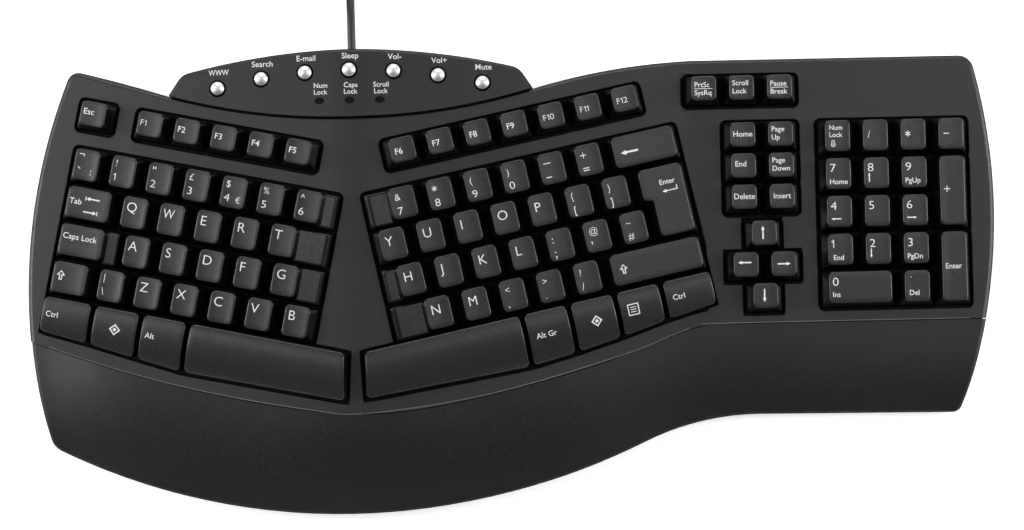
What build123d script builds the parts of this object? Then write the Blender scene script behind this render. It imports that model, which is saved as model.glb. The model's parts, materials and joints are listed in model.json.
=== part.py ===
from build123d import *
import os
from functools import cache
from math import ceil, cos, floor, pi, radians, sin, sqrt, tan
from typing import NamedTuple

# Ergonomic split keyboard: a gull-wing case with two turned key blocks, a flat block of cursor and
# number keys, a raised media panel, a palm rest and a USB lead.
# Millimetres, +Z up, origin on the desk under the middle of the case, front edge towards -Y.

# Key spacing and the three key blocks
PITCH = 19.05                   # from one key to the next
SMALL_PITCH = 15.7              # depth of a row of function or cursor keys
CAP_GAP = 0.85                  # between neighbouring skirts
SPLIT_ANGLE = 12.0              # how far each letter block is turned
TENT_ANGLE = 5.5                # fall of each letter block away from the ridge
SIDE_ANGLE = 1.0                # fall of the cursor and number block
RIDGE_X = -79.0
RIDGE_Z = 37.0
RIDGE_RADIUS = 100.0
BREAK_X = 92.0                  # where the slope eases off
BREAK_RADIUS = 150.0
INNER_EDGE = 13.5               # from the ridge to the nearest letter key
BLOCK_BACK = 40.2               # from the ridge's middle to the back of the number row
LEFT_WIDTH = 7.25               # letter blocks, in pitches
RIGHT_WIDTH = 8.5
FUNCTION_BACK = 64.25           # back of the function row, from the ridge's middle
FUNCTION_LEFT = 1.47            # first function key, in pitches from the block's outer edge
FUNCTION_RIGHT = 0.795          # first right-hand function key, in pitches from the inner edge
SIDE_X = 155.3                  # left edge of the number pad
SIDE_Y = 75.8                   # back of the number pad and of the cursor keys
SYSTEM_BACK = 99.4              # back of the three system keys
CURSOR_GAP = 0.5                # between cursor keys and number pad, in pitches

# Caps
SKIRT = 0.3                     # skirt's lower edge above the deck
CAP_TOP = 8.5
SIDE_INSET = 3.0                # how far each side leans in
BACK_INSET = 0.4
FRONT_INSET = 2.3
CAP_CORNER = 1.6
SCOOP = 0.55                    # depth of the finger hollow
CAP_WALL = 1.4
STEP_TOP = 4.6                  # ledge beside a raised cap
STEP_INSET = 1.0
PILLOW_INSET = 0.9              # thumb keys have near upright sides
PILLOW_TOP = 8.2
PILLOW_RADIUS = 34.0
PILLOW_CREST = 7.0              # crest of a thumb key in front of its back edge
STEM_WIDTH = 5.4
STEM_DEPTH = 4.4
STEM_END = 7.2                  # slider's lower end below the deck
STEM_CLEARANCE = 0.15
TRAVEL = 3.5
POST_SPREAD = 27.0              # a space bar's two guide posts, each side of its slider
POST_WIDTH = 3.0

# Key carriers, depths below the deck
FRAME_TOP = 3.7
FRAME_PLATE = 2.0
FRAME_MARGIN = 1.4              # frame beyond the opening above it
FRAME_WALL = 1.4
MAT_TOP = 10.6
MAT = 0.6
MEMBRANE = 0.8
PLATE_TOP = MAT_TOP + MAT + MEMBRANE
BASE_PLATE = 1.0
DOME_GAP = 0.15
DOME_FOOT = 9.0
DOME_HEAD = 5.0
FIT = 0.3                       # side clearance of what lies inside the frame

# Case
WALL = 2.2
FOOT_HEIGHT = 2.0
PARTING_Z = 6.5
TRAY_FLOOR = 1.8
TRAY_WALL = 2.0
SEAM = 0.4
EDGE_RADIUS = 2.4
WELL_MARGIN = 0.8               # opening beyond the keys
WELL_BEVEL = 0.5
RIM_WALL = 1.4
PANEL_EDGE = 2.0
TRAY_CHAMFER = 1.5
PANEL_RISE = 1.4                # media panel above the deck
PALM_LIP = 11.0                 # palm rest's front edge at its ends
PALM_LIFT = 0.35                # share of the deck's rise that the front edge keeps
PALM_FLAT = 20.0                # how far the palm rest stays level from its seam
PALM_EDGE = 2.0
PALM_ROLL = 10.0                # where its front starts to turn down
PALM_FALL = 7.0
PALM_DROP = 4.0
PALM_OVERLAP = 8.0
PALM_STATION = 44.0             # sections of the palm rest lie this far apart, on from the ridge
SEAM_WALL = 1.2

# Outline of the case, seen from above
LEFT_X = -244.1
RIGHT_X = 244.8
BACK_Y = 107.7
FRONT_Y = -117.4
BACK_LEFT = (-220.2, 109.4)
FRONT_LEFT = (-233.9, -80.6)
FRONT_RIGHT = (225.3, -73.1)
BACK_RIGHT = (234.7, BACK_Y)
LEFT_MIDDLE = (LEFT_X, -5.0)
RIGHT_MIDDLE = (RIGHT_X, 33.0)
FRONT_LOW = (-83.0, FRONT_Y)
FRONT_TURN = (66.0, -84.4)
FRONT_FLAT = (124.5, -71.8)
PANEL_HALF = 91.6               # half width of the media panel's seam
PANEL_SEAM_END = 94.6
PANEL_SEAM_LOW = 81.3
PANEL_BACK = 115.3
PANEL_SHOULDER = (84.6, 105.1)  # from the ridge, and its Y
SHOULDER_RADIUS = 9.0
PANEL_SIDE = 4.0
WAIST_MIDDLE = (47.0, 102.7)
WAIST_END = (93.0, BACK_Y)
NECK_MIDDLE = (-197.0, 102.9)
CORNER_RADII = (6.0, 10.0, 5.0, 8.0)
PALM_SEAM = ((-256.0, -22.0), (-205.0, -40.4), (-156.0, -54.1), (-102.0, -64.6), (-72.0, -66.9),
             (-12.0, -58.7), (54.0, -41.0), (80.0, -31.4), (93.0, -27.2), (110.0, -26.0), (280.0, -26.0))

# Media keys and lights
MEDIA_COUNT = 7
MEDIA_PITCH = 22.1
MEDIA_Y = 104.7
MEDIA_ARC = 304.0
BUTTON_RADIUS = 3.8
BUTTON_HOLE = 4.3
BUTTON_DOME = 4.6               # radius of a button's rounded top
BUTTON_RISE = 2.2
BUTTON_FLANGE = 5.0
BUTTON_TRAVEL = 1.2
BUTTON_STEM = 1.5
BUTTON_SEAT = 0.6               # flange below the panel's underside
BUTTON_FLANGE_THICK = 0.8
STRIP_DEPTH = 8.0               # media switch strip below the panel
STRIP = 1.6
STRIP_WIDTH = 8.4
STRIP_END = 5.0                 # strip beyond its last button
STRIP_POST = 1.5
LIGHT_PITCH = 15.05
LIGHT_Y = 89.6
LIGHT_SIZE = (2.3, 1.6)
LIGHT_FIT = 0.1
LIGHT_PROUD = 0.2

# Feet and screws
FLIP_PLACES = ((-201.0, 91.0), (185.0, 95.5))    # middle of each hinge
FLIP_WIDTH = 30.0
FLIP_LENGTH = 14.0
FLIP_THICK = 3.6
FLIP_PIN = 1.5
PIN_REACH = 1.2                 # pin beyond the foot's side
PIN_FIT = 0.15
FLIP_CLEARANCE = 0.4
POCKET_WALL = 1.6
PAD_SIZE = (22.0, 7.0)
PAD_PLACES = ((-190.0, -86.0), (-85.0, -106.0), (30.0, -86.0), (200.0, -62.0), (-212.0, 60.0), (50.0, 92.0),
              (218.0, 62.0))
SCREW_PLACES = {
    "cover": ((-230.5, 50.0), (79.5, 95.0), (215.0, 92.0), (RIDGE_X, 70.0)),
    "panel": ((-124.0, 90.5), (-34.0, 90.5)),
    "palm": ((-150.0, -88.0), (-20.0, -92.0), (100.0, -56.0), (205.0, -50.0)),
}
SCREW_HEAD = 2.8
SCREW_HEAD_DEPTH = 1.6
SCREW_SHANK = 1.3
SCREW_LENGTH = 9.0
BOSS = 3.6                      # radius of a screw boss
BOSS_TOP = 6.0                  # where the tray's bosses meet those of the lids

# Controller, gland and lead
BOARD_SIZE = (64.0, 22.0)
BOARD_Y = 98.0
BOARD_Z = 9.0
BOARD = 1.6
BOARD_POST = 2.0
CHIP = (12.0, 12.0, 1.2)
SOCKET = (12.0, 5.0, 5.0)
CORD_DIAMETER = 4.2
CORD_LENGTH = 1800.0
CORD_EXIT_Z = 13.0
GLAND_RADIUS = 3.4
GLAND_FLANGE = 4.6
GLAND_PROUD = 1.6
GLAND_DEPTH = 5.0
CORD_ROUTE = ((0.0, 133.0, CORD_EXIT_Z), (-0.5, 146.0, 9.4), (0.0, 161.0, 2.8), (0.0, 176.0, 2.8))
COIL_SIDES = 4
COIL_LAYERS = 4
LAYER_HALVES = 4                # half turns of the spiral in a layer
LAST_TURN = 0.8                 # size of the last half turn, drawn in on top
COIL_PITCH = 4.8
LAYER_PITCH = 4.75
TURN_ROOM = 0.7                 # more room where the spiral reverses
TIE = 0.6
TIE_WIDTH = 4.0
TIE_FIT = 0.1
PLUG_SIZE = (15.5, 8.0, 20.0)
PLUG_CHAMFER = 1.2
RELIEF_LENGTH = 7.0
RELIEF_END = 3.2
SHELL_SIZE = (12.0, 4.5, 12.0)
SHELL_WALL = 0.4
TONGUE = 1.8
PLUG_PLACE = (-10.0, 21.0)      # end of the lead on the coil, from the coil's middle

os.makedirs("parts", exist_ok=True)


class Cell(NamedTuple):
    """A key's place in its block: middle and size in the block's own plane."""

    x: float
    y: float
    width: float
    depth: float


def deck_z(x):
    """Height of the deck above the desk at a distance x from the case's middle."""
    slope = tan(radians(TENT_ANGLE))
    if abs(x - RIDGE_X) < RIDGE_RADIUS * sin(radians(TENT_ANGLE)):
        crown = RIDGE_RADIUS / cos(radians(TENT_ANGLE))
        return RIDGE_Z - crown + sqrt(RIDGE_RADIUS ** 2 - (x - RIDGE_X) ** 2)
    if x < BREAK_X:
        return RIDGE_Z - slope * abs(x - RIDGE_X)
    return RIDGE_Z - slope * (BREAK_X - RIDGE_X) - tan(radians(SIDE_ANGLE)) * (x - BREAK_X)


def block_plane(origin, turn, fall, side):
    """Plane of a key block: turned about Z by turn, falling by fall degrees towards side."""
    a = radians(turn)
    t = radians(fall)
    return Plane(
        origin=origin,
        x_dir=(cos(a) * cos(t), sin(a), -side * cos(a) * sin(t)),
        z_dir=(side * sin(t), 0, cos(t)),
    )


LEFT = block_plane((RIDGE_X, 0, RIDGE_Z), -SPLIT_ANGLE, TENT_ANGLE, -1)
RIGHT = block_plane((RIDGE_X, 0, RIDGE_Z), SPLIT_ANGLE, TENT_ANGLE, 1)
SIDE = block_plane((BREAK_X, 0, deck_z(BREAK_X)), 0, SIDE_ANGLE, 1)
LEFT_START = -INNER_EDGE - LEFT_WIDTH * PITCH
RIGHT_START = INNER_EDGE
SIDE_START = SIDE_X - BREAK_X


def cells(start, widths, back, depth=PITCH):
    """Neighbouring cells from a left edge: widths in pitches, back edge and depth in millimetres."""
    row = []
    for width in widths:
        row.append(Cell(start + width * PITCH / 2, back - depth / 2, width * PITCH, depth))
        start += width * PITCH
    return row


def row_back(row):
    """Back edge of a letter block's row, counted from the number row."""
    return BLOCK_BACK - row * PITCH


# Letter blocks, row by row; ledges are the low part beside a raised cap, in pitches (left, right)
FUNCTIONS_LEFT = cells(LEFT_START + FUNCTION_LEFT * PITCH, [1] * 5, FUNCTION_BACK, SMALL_PITCH)
ESC = cells(LEFT_START - 0.08 * PITCH, [1], FUNCTION_BACK, SMALL_PITCH)
NUMBERS_LEFT = cells(LEFT_START, [1] * 6 + [1.25], row_back(0))
TAB = cells(LEFT_START, [1.5], row_back(1))
TOP_LEFT = cells(LEFT_START + 1.5 * PITCH, [1] * 4 + [1.75], row_back(1))
CAPS_LOCK = cells(LEFT_START, [1.75], row_back(2))
HOME_LEFT = cells(LEFT_START + 1.75 * PITCH, [1] * 4 + [1.5], row_back(2))
SHIFT_LEFT = cells(LEFT_START, [1.25], row_back(3))
BOTTOM_LEFT = cells(LEFT_START + 1.25 * PITCH, [1] * 6, row_back(3))
FUNCTIONS_RIGHT = cells(RIGHT_START + FUNCTION_RIGHT * PITCH, [1] * 7, FUNCTION_BACK, SMALL_PITCH)
NUMBERS_RIGHT = cells(RIGHT_START, [1.5] + [1] * 5, row_back(0))
BACKSPACE = cells(RIGHT_START + 6.5 * PITCH, [2], row_back(0))
TOP_RIGHT = cells(RIGHT_START, [1] * 7, row_back(1))
HOME_RIGHT = cells(RIGHT_START, [1.25] + [1] * 6, row_back(2))
BOTTOM_RIGHT = cells(RIGHT_START, [1.75] + [1] * 4, row_back(3))
SHIFT_RIGHT = cells(RIGHT_START + 5.75 * PITCH, [2.75], row_back(3))
ENTER_START = RIGHT_START + 7 * PITCH
ENTER_STEP = 0.25 * PITCH
ENTER_STEM = Cell(RIGHT_START + 7.875 * PITCH, row_back(2), 1.25 * PITCH, 2 * PITCH)

# Thumb rows: the edges between keys in pitches from the left, and how far the front corners reach there
THUMB_LEFT = ((0.0, 54.6), (1.40, 56.8), (2.70, 59.4), (3.97, 61.8), (8.42, 60.6))
THUMB_RIGHT = ((-1.13, 59.8), (3.33, 63.2), (4.58, 61.6), (5.83, 59.2), (7.08, 56.0), (8.5, 53.4))
BAR_SLANT = PITCH * sin(radians(SPLIT_ANGLE))

# Side block
SYSTEM = cells(SIDE_START - (3 + CURSOR_GAP) * PITCH, [1] * 3, SYSTEM_BACK, SMALL_PITCH)
NAVIGATION = [
    cell
    for row in range(3)
    for cell in cells(SIDE_START - (2 + CURSOR_GAP) * PITCH, [1, 1], SIDE_Y - row * SMALL_PITCH, SMALL_PITCH)
]
ARROW_BACK = SIDE_Y - 3 * SMALL_PITCH - 2.6
ARROWS = (
    cells(SIDE_START - (1.5 + CURSOR_GAP) * PITCH, [1], ARROW_BACK, SMALL_PITCH)
    + cells(SIDE_START - (2 + CURSOR_GAP) * PITCH, [1, 1], ARROW_BACK - SMALL_PITCH, SMALL_PITCH)
    + cells(SIDE_START - (1.5 + CURSOR_GAP) * PITCH, [1], ARROW_BACK - 2 * SMALL_PITCH, SMALL_PITCH)
)
PAD_TOP = cells(SIDE_START, [1] * 4, SIDE_Y)
PAD_DIGITS = [cell for row in (1, 2, 3) for cell in cells(SIDE_START, [1] * 3, SIDE_Y - row * PITCH)]
PAD_PLUS = cells(SIDE_START + 3 * PITCH, [1], SIDE_Y - PITCH, 2 * PITCH)
PAD_ENTER = cells(SIDE_START + 3 * PITCH, [1], SIDE_Y - 3 * PITCH, 2 * PITCH)
PAD_ZERO = cells(SIDE_START, [2], SIDE_Y - 4 * PITCH)
PAD_POINT = cells(SIDE_START + 2 * PITCH, [1], SIDE_Y - 4 * PITCH)


def save(piece, name):
    """Label a finished piece and write it."""
    piece.label = name
    export_step(piece, f"parts/{name}.step")


# Keycaps, built round their own middle with the deck at zero
def frustum(width, depth, low, high, insets):
    """Tapered block with cut corners: insets are left, right, back and front, taken in at its top."""
    left, right, back, front = insets
    with BuildPart() as body:
        with BuildSketch(Plane.XY.offset(low)) as foot:
            Rectangle(width, depth)
            chamfer(foot.vertices(), CAP_CORNER)
        with BuildSketch(Plane.XY.offset(high)) as head:
            with Locations(((left - right) / 2, (front - back) / 2)):
                Rectangle(width - left - right, depth - back - front)
            chamfer(head.vertices(), CAP_CORNER)
        loft(ruled=True)
    return body.part


def cavity(width, depth):
    """Hollow under a scooped cap, from its skirt up to its roof."""
    roof = CAP_TOP - SCOOP - CAP_WALL
    lean = (roof - SKIRT) / (CAP_TOP - SKIRT)
    with BuildPart() as hollow:
        with BuildSketch(Plane.XY.offset(SKIRT)):
            Rectangle(width - 2 * CAP_WALL, depth - 2 * CAP_WALL)
        with BuildSketch(Plane.XY.offset(roof)):
            with Locations((0, (FRONT_INSET - BACK_INSET) / 2 * lean)):
                Rectangle(
                    width - 2 * CAP_WALL - 2 * SIDE_INSET * lean,
                    depth - 2 * CAP_WALL - (BACK_INSET + FRONT_INSET) * lean,
                )
        loft(ruled=True)
    return hollow.part


@cache
def scooped_cap(cell_width, cell_depth, ledge_left=0.0, ledge_right=0.0):
    """Cap with a finger hollow and its slider; a ledge is the low part at one side of the raised cap."""
    width = cell_width - CAP_GAP
    depth = cell_depth - CAP_GAP
    raised = width - ledge_left - ledge_right
    raised_x = (ledge_left - ledge_right) / 2
    scoop_radius = ((raised / 2 - SIDE_INSET) ** 2 + SCOOP ** 2) / (2 * SCOOP)
    with BuildPart() as cap:
        with Locations((raised_x, 0)):
            add(frustum(raised, depth, SKIRT, CAP_TOP, (SIDE_INSET, SIDE_INSET, BACK_INSET, FRONT_INSET)))
        if ledge_left or ledge_right:
            add(frustum(width, depth, SKIRT, STEP_TOP, (STEP_INSET,) * 4))
        with Locations((raised_x, 0)):
            add(cavity(raised, depth), mode=Mode.SUBTRACT)
        with BuildSketch(Plane.XY.offset(-STEM_END)):
            with Locations((raised_x, 0)):
                Rectangle(STEM_WIDTH, STEM_DEPTH)
        extrude(amount=STEM_END + CAP_TOP - SCOOP - CAP_WALL / 2)
        with Locations(Location((raised_x, 0, CAP_TOP + scoop_radius - SCOOP), (90, 0, 0))):
            Cylinder(scoop_radius, 2 * depth, mode=Mode.SUBTRACT)
    return cap.part


def stem_place(cell, ledge_left=0.0, ledge_right=0.0):
    """Where a cell's slider runs: under the middle of its raised cap."""
    return (cell.x + (ledge_left - ledge_right) / 2, cell.y)


def key_row(name, plane, row, ledge_first=0.0, ledge_last=0.0):
    """Write a row of scooped caps as one node and return the places of their sliders."""
    stems = []
    with BuildPart() as node:
        for i, cell in enumerate(row):
            left = ledge_first * PITCH if i == 0 else 0.0
            right = ledge_last * PITCH if i == len(row) - 1 else 0.0
            with Locations(plane.location * Location((cell.x, cell.y, 0))):
                add(scooped_cap(cell.width, cell.depth, left, right))
            stems.append(stem_place(cell, left, right))
    save(node.part, name)
    return stems


left_stems = key_row("esc_key", LEFT, ESC)
left_stems += key_row("function_keys_left", LEFT, FUNCTIONS_LEFT)
left_stems += key_row("number_keys_left", LEFT, NUMBERS_LEFT, 0, 0.25)
left_stems += key_row("tab_key", LEFT, TAB)
left_stems += key_row("top_row_left", LEFT, TOP_LEFT, 0, 0.75)
left_stems += key_row("caps_lock_key", LEFT, CAPS_LOCK, 0, 0.25)
left_stems += key_row("home_row_left", LEFT, HOME_LEFT, 0, 0.5)
left_stems += key_row("shift_key_left", LEFT, SHIFT_LEFT)
left_stems += key_row("bottom_row_left", LEFT, BOTTOM_LEFT)

right_stems = key_row("function_keys_right", RIGHT, FUNCTIONS_RIGHT)
right_stems += key_row("number_keys_right", RIGHT, NUMBERS_RIGHT, 0.5, 0)
right_stems += key_row("backspace_key", RIGHT, BACKSPACE)
right_stems += key_row("top_row_right", RIGHT, TOP_RIGHT)
right_stems += key_row("home_row_right", RIGHT, HOME_RIGHT, 0.25, 0)
right_stems += key_row("bottom_row_right", RIGHT, BOTTOM_RIGHT, 0.75, 0)
right_stems += key_row("shift_key_right", RIGHT, SHIFT_RIGHT)

side_stems = key_row("system_keys", SIDE, SYSTEM)
side_stems += key_row("navigation_keys", SIDE, NAVIGATION)
side_stems += key_row("arrow_keys", SIDE, ARROWS)
side_stems += key_row("numpad_top_row", SIDE, PAD_TOP)
side_stems += key_row("numpad_digits", SIDE, PAD_DIGITS)
side_stems += key_row("numpad_plus", SIDE, PAD_PLUS)
side_stems += key_row("numpad_enter", SIDE, PAD_ENTER)
side_stems += key_row("numpad_zero", SIDE, PAD_ZERO)
side_stems += key_row("numpad_point", SIDE, PAD_POINT)


def enter_outline(margin, side, back, front):
    """Corners of the angled Enter key, taken in all round by a margin and further on each side."""
    left = ENTER_START + margin + side
    right = RIGHT_START + RIGHT_WIDTH * PITCH - margin - side
    top = row_back(1) - margin - back
    foot = row_back(3) + margin + front
    notch = row_back(2) + margin + front
    return ((left, top), (right, top), (right, foot), (left + ENTER_STEP, foot), (left + ENTER_STEP, notch),
            (left, notch))


# Enter key, wider at its back half
with BuildPart() as enter_blank:
    for height, insets in ((SKIRT, (0, 0, 0)), (CAP_TOP, (SIDE_INSET, BACK_INSET, FRONT_INSET))):
        with BuildSketch(Plane.XY.offset(height)):
            with BuildLine():
                Polyline(*enter_outline(CAP_GAP / 2, *insets), close=True)
            make_face()
    loft(ruled=True)
    with Locations((ENTER_STEM.x, ENTER_STEM.y)):
        add(cavity(ENTER_STEM.width - CAP_GAP, ENTER_STEM.depth - CAP_GAP), mode=Mode.SUBTRACT)
    with BuildSketch(Plane.XY.offset(-STEM_END)):
        with Locations((ENTER_STEM.x, ENTER_STEM.y)):
            Rectangle(STEM_WIDTH, STEM_DEPTH)
    extrude(amount=STEM_END + CAP_TOP - SCOOP - CAP_WALL / 2)
    scoop_half = ENTER_STEM.width / 2 - SIDE_INSET + ENTER_STEP / 2
    scoop_radius = (scoop_half ** 2 + SCOOP ** 2) / (2 * SCOOP)
    with Locations(Location((ENTER_STEM.x, ENTER_STEM.y, CAP_TOP + scoop_radius - SCOOP), (90, 0, 0))):
        Cylinder(scoop_radius, 2 * ENTER_STEM.depth, mode=Mode.SUBTRACT)
with BuildPart() as enter_key:
    with Locations(RIGHT.location):
        add(enter_blank.part)
save(enter_key.part, "enter_key")
right_stems.append((ENTER_STEM.x, ENTER_STEM.y))


# Thumb rows, whose front corners follow the palm rest
def thumb_key(name, plane, corners, posts=0.0):
    """Write a thumb key over four corners, back left first and clockwise; return its posts' places."""
    (x0, back), (x1, _), (x2, y2), (x3, y3) = corners
    middle = (x0 + x1 + x2 + x3) / 4
    depth = back - (y2 + y3) / 2
    stem_y = back - depth / 2
    with BuildPart() as blank:
        for height, side, front in ((SKIRT, CAP_GAP / 2, CAP_GAP), (PILLOW_TOP, CAP_GAP / 2 + PILLOW_INSET, CAP_GAP)):
            with BuildSketch(Plane.XY.offset(height)) as level:
                with BuildLine():
                    Polyline(
                        (x0 + side, back - CAP_GAP / 2), (x1 - side, back - CAP_GAP / 2),
                        (x2 - side, y2 + front), (x3 + side, y3 + front), close=True,
                    )
                make_face()
                chamfer(level.vertices(), CAP_CORNER)
        loft(ruled=True)
        with BuildSketch(Plane.XY.offset(SKIRT)):
            with Locations((middle, stem_y)):
                Rectangle(x1 - x0 - 4 * CAP_WALL - BAR_SLANT, depth - 4 * CAP_WALL)
        extrude(amount=PILLOW_TOP / 2, mode=Mode.SUBTRACT)
        with BuildSketch(Plane.XY.offset(-STEM_END)):
            with Locations((middle, stem_y)):
                Rectangle(STEM_WIDTH, STEM_DEPTH)
            if posts:
                with Locations((middle - posts, stem_y), (middle + posts, stem_y)):
                    Rectangle(POST_WIDTH, STEM_DEPTH)
        extrude(amount=STEM_END + PILLOW_TOP / 2 + CAP_WALL)
        with Locations(Location((middle, back - PILLOW_CREST, PILLOW_TOP - PILLOW_RADIUS), (0, 90, 0))):
            Cylinder(PILLOW_RADIUS, 2 * (x1 - x0), mode=Mode.INTERSECT)
    with BuildPart() as node:
        with Locations(plane.location):
            add(blank.part)
    save(node.part, name)
    return [(middle, stem_y)]


def thumb_corners(start, left, right, slant_left=0.0, slant_right=0.0):
    """Corners of a thumb key between two edges given as (pitches, front reach)."""
    back = row_back(4)
    return (
        (start + left[0] * PITCH + slant_left, back), (start + right[0] * PITCH - slant_right, back),
        (start + right[0] * PITCH, -right[1]), (start + left[0] * PITCH, -left[1]),
    )


for i, name in enumerate(("ctrl_key_left", "super_key_left", "alt_key")):
    left_stems += thumb_key(name, LEFT, thumb_corners(LEFT_START, *THUMB_LEFT[i:i + 2]))
for i, name in enumerate(("alt_gr_key", "super_key_right", "menu_key", "ctrl_key_right")):
    right_stems += thumb_key(name, RIGHT, thumb_corners(RIGHT_START, *THUMB_RIGHT[i + 1:i + 3]))
BAR_LEFT = thumb_corners(LEFT_START, *THUMB_LEFT[3:], slant_right=BAR_SLANT)
BAR_RIGHT = thumb_corners(RIGHT_START, *THUMB_RIGHT[:2], slant_left=BAR_SLANT)
left_stems += thumb_key("space_bar_left", LEFT, BAR_LEFT, POST_SPREAD)
right_stems += thumb_key("space_bar_right", RIGHT, BAR_RIGHT, POST_SPREAD)


# Openings in the deck, each drawn on its block's plane
def key_span(row, margin):
    """Corners of the box round neighbouring cells, grown by a margin."""
    left = min(cell.x - cell.width / 2 for cell in row) - margin
    right = max(cell.x + cell.width / 2 for cell in row) + margin
    front = min(cell.y - cell.depth / 2 for cell in row) - margin
    back = max(cell.y + cell.depth / 2 for cell in row) + margin
    return [(left, back), (right, back), (right, front), (left, front)]


def left_main(margin):
    """Outline of the left letter block's opening, grown by a margin."""
    edge = LEFT_START + LEFT_WIDTH * PITCH + margin
    front = [(LEFT_START + x * PITCH, -reach - margin) for x, reach in THUMB_LEFT[::-1]]
    front[0] = (front[0][0] + margin, front[0][1])
    front[-1] = (front[-1][0] - margin, front[-1][1])
    step = row_back(4) + margin
    return [(LEFT_START - margin, BLOCK_BACK + margin), (edge, BLOCK_BACK + margin), (edge, step),
            (BAR_LEFT[1][0] + margin, step)] + front


def right_main(margin):
    """Outline of the right letter block's opening, grown by a margin."""
    edge = RIGHT_START - margin
    front = [(RIGHT_START + x * PITCH, -reach - margin) for x, reach in THUMB_RIGHT]
    front[0] = (front[0][0] - margin, front[0][1])
    front[-1] = (front[-1][0] + margin, front[-1][1])
    step = row_back(4) + margin
    return [(RIGHT_START + RIGHT_WIDTH * PITCH + margin, BLOCK_BACK + margin), (edge, BLOCK_BACK + margin),
            (edge, step), (BAR_RIGHT[0][0] - margin, step)] + front


def arrow_cross(margin):
    """Outline of the cross-shaped opening round the arrow keys."""
    up, left, right, down = ARROWS
    outer = right.x + right.width / 2 + margin
    inner = up.x + up.width / 2 + margin
    mid = up.x
    rows = (up.y + up.depth / 2 + margin, left.y + left.depth / 2 + margin, left.y - left.depth / 2 - margin,
            down.y - down.depth / 2 - margin)
    half = [(inner, rows[0]), (inner, rows[1]), (outer, rows[1]), (outer, rows[2]), (inner, rows[2]),
            (inner, rows[3])]
    return half + [(2 * mid - x, y) for x, y in half[::-1]]


def pad_block(margin):
    """Outline of the number pad's opening."""
    return key_span(PAD_TOP + PAD_ZERO, margin)


LEFT_WELLS = (lambda m: key_span(ESC, m), lambda m: key_span(FUNCTIONS_LEFT, m), left_main)
RIGHT_WELLS = (lambda m: key_span(FUNCTIONS_RIGHT, m), right_main)
SIDE_WELLS = (lambda m: key_span(SYSTEM, m), lambda m: key_span(NAVIGATION, m), arrow_cross, pad_block)
BLOCKS = ((LEFT, LEFT_WELLS), (RIGHT, RIGHT_WELLS), (SIDE, SIDE_WELLS))


# Key carriers: a frame hangs under each block's openings and holds its mat, membrane and plate
def linked(row, margin, front):
    """Corners of the box round a row of cells, with its front edge moved to a given place."""
    corners = key_span(row, margin)
    return corners[:2] + [(corners[1][0], front), (corners[0][0], front)]


def left_outline(margin):
    """Outlines that join into the left frame."""
    return [left_main(margin), linked(ESC + FUNCTIONS_LEFT, margin, BLOCK_BACK)]


def right_outline(margin):
    """Outlines that join into the right frame."""
    return [right_main(margin), linked(FUNCTIONS_RIGHT, margin, BLOCK_BACK)]


def side_outline(margin):
    """Outlines that join into the side frame."""
    return [
        key_span(NAVIGATION + PAD_TOP + PAD_ZERO, margin),
        key_span(SYSTEM, margin),
        linked([cell for cell in SYSTEM if cell.x > NAVIGATION[0].x - PITCH / 2], margin, SIDE_Y),
    ]


def layer(plane, outlines, top, thickness):
    """Plate of joined outlines whose upper face lies a depth below the deck."""
    with BuildPart() as plate:
        with BuildSketch(plane.offset(-top)):
            for outline in outlines:
                with BuildLine():
                    Polyline(*outline, close=True)
                make_face()
        extrude(amount=-thickness)
    return plate.part


def own_side(side):
    """Room on one side of the ridge, below which the two letter blocks lean together."""
    left = side == "left"
    with BuildPart() as room:
        with Locations((RIDGE_X - FIT / 2 if left else RIDGE_X + FIT / 2, 0, 0)):
            Box(2 * RIGHT_X, 2 * RIGHT_X, 2 * RIDGE_Z, align=(Align.MAX if left else Align.MIN, Align.CENTER, Align.MIN))
    return room.part


def key_frame(side, plane, outline, stems, posts):
    """Frame with a square guide for each slider and a wall down to the base plate."""
    reach = WELL_MARGIN + FRAME_MARGIN
    with BuildPart() as frame:
        add(layer(plane, outline(reach), FRAME_TOP, PLATE_TOP - FRAME_TOP))
        add(
            layer(plane, outline(reach - FRAME_WALL), FRAME_TOP + FRAME_PLATE, PLATE_TOP - FRAME_TOP - FRAME_PLATE),
            mode=Mode.SUBTRACT,
        )
        with BuildSketch(plane.offset(-FRAME_TOP)):
            with Locations(*stems):
                Rectangle(STEM_WIDTH + 2 * STEM_CLEARANCE, STEM_DEPTH + 2 * STEM_CLEARANCE)
            if posts:
                with Locations(*posts):
                    Rectangle(POST_WIDTH + 2 * STEM_CLEARANCE, STEM_DEPTH + 2 * STEM_CLEARANCE)
        extrude(amount=-FRAME_PLATE, mode=Mode.SUBTRACT)
        add(own_side(side), mode=Mode.INTERSECT)
    save(frame.part, f"key_frame_{side}")


def dome_mat(plane, outline, stems):
    """Rubber mat with a dome under each slider."""
    with BuildPart() as dome:
        with BuildSketch(Plane.XY.offset(-MAT_TOP - MAT / 2)):
            Rectangle(DOME_FOOT, DOME_FOOT)
        with BuildSketch(Plane.XY.offset(-STEM_END - DOME_GAP)):
            Rectangle(DOME_HEAD, DOME_HEAD)
        loft(ruled=True)
    with BuildPart() as mat:
        add(layer(plane, outline(WELL_MARGIN + FRAME_MARGIN - FRAME_WALL - FIT), MAT_TOP, MAT))
        with Locations(*[plane.location * Location((x, y, 0)) for x, y in stems]):
            add(dome.part)
    return mat.part


def bar_posts(stem):
    """Places of a space bar's guide posts, each side of its slider."""
    return [(stem[0] - POST_SPREAD, stem[1]), (stem[0] + POST_SPREAD, stem[1])]


CARRIERS = (
    ("left", LEFT, left_outline, left_stems, bar_posts(left_stems[-1])),
    ("right", RIGHT, right_outline, right_stems, bar_posts(right_stems[-1])),
    ("side", SIDE, side_outline, side_stems, []),
)
for side, plane, outline, stems, posts in CARRIERS:
    key_frame(side, plane, outline, stems, posts)

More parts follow.
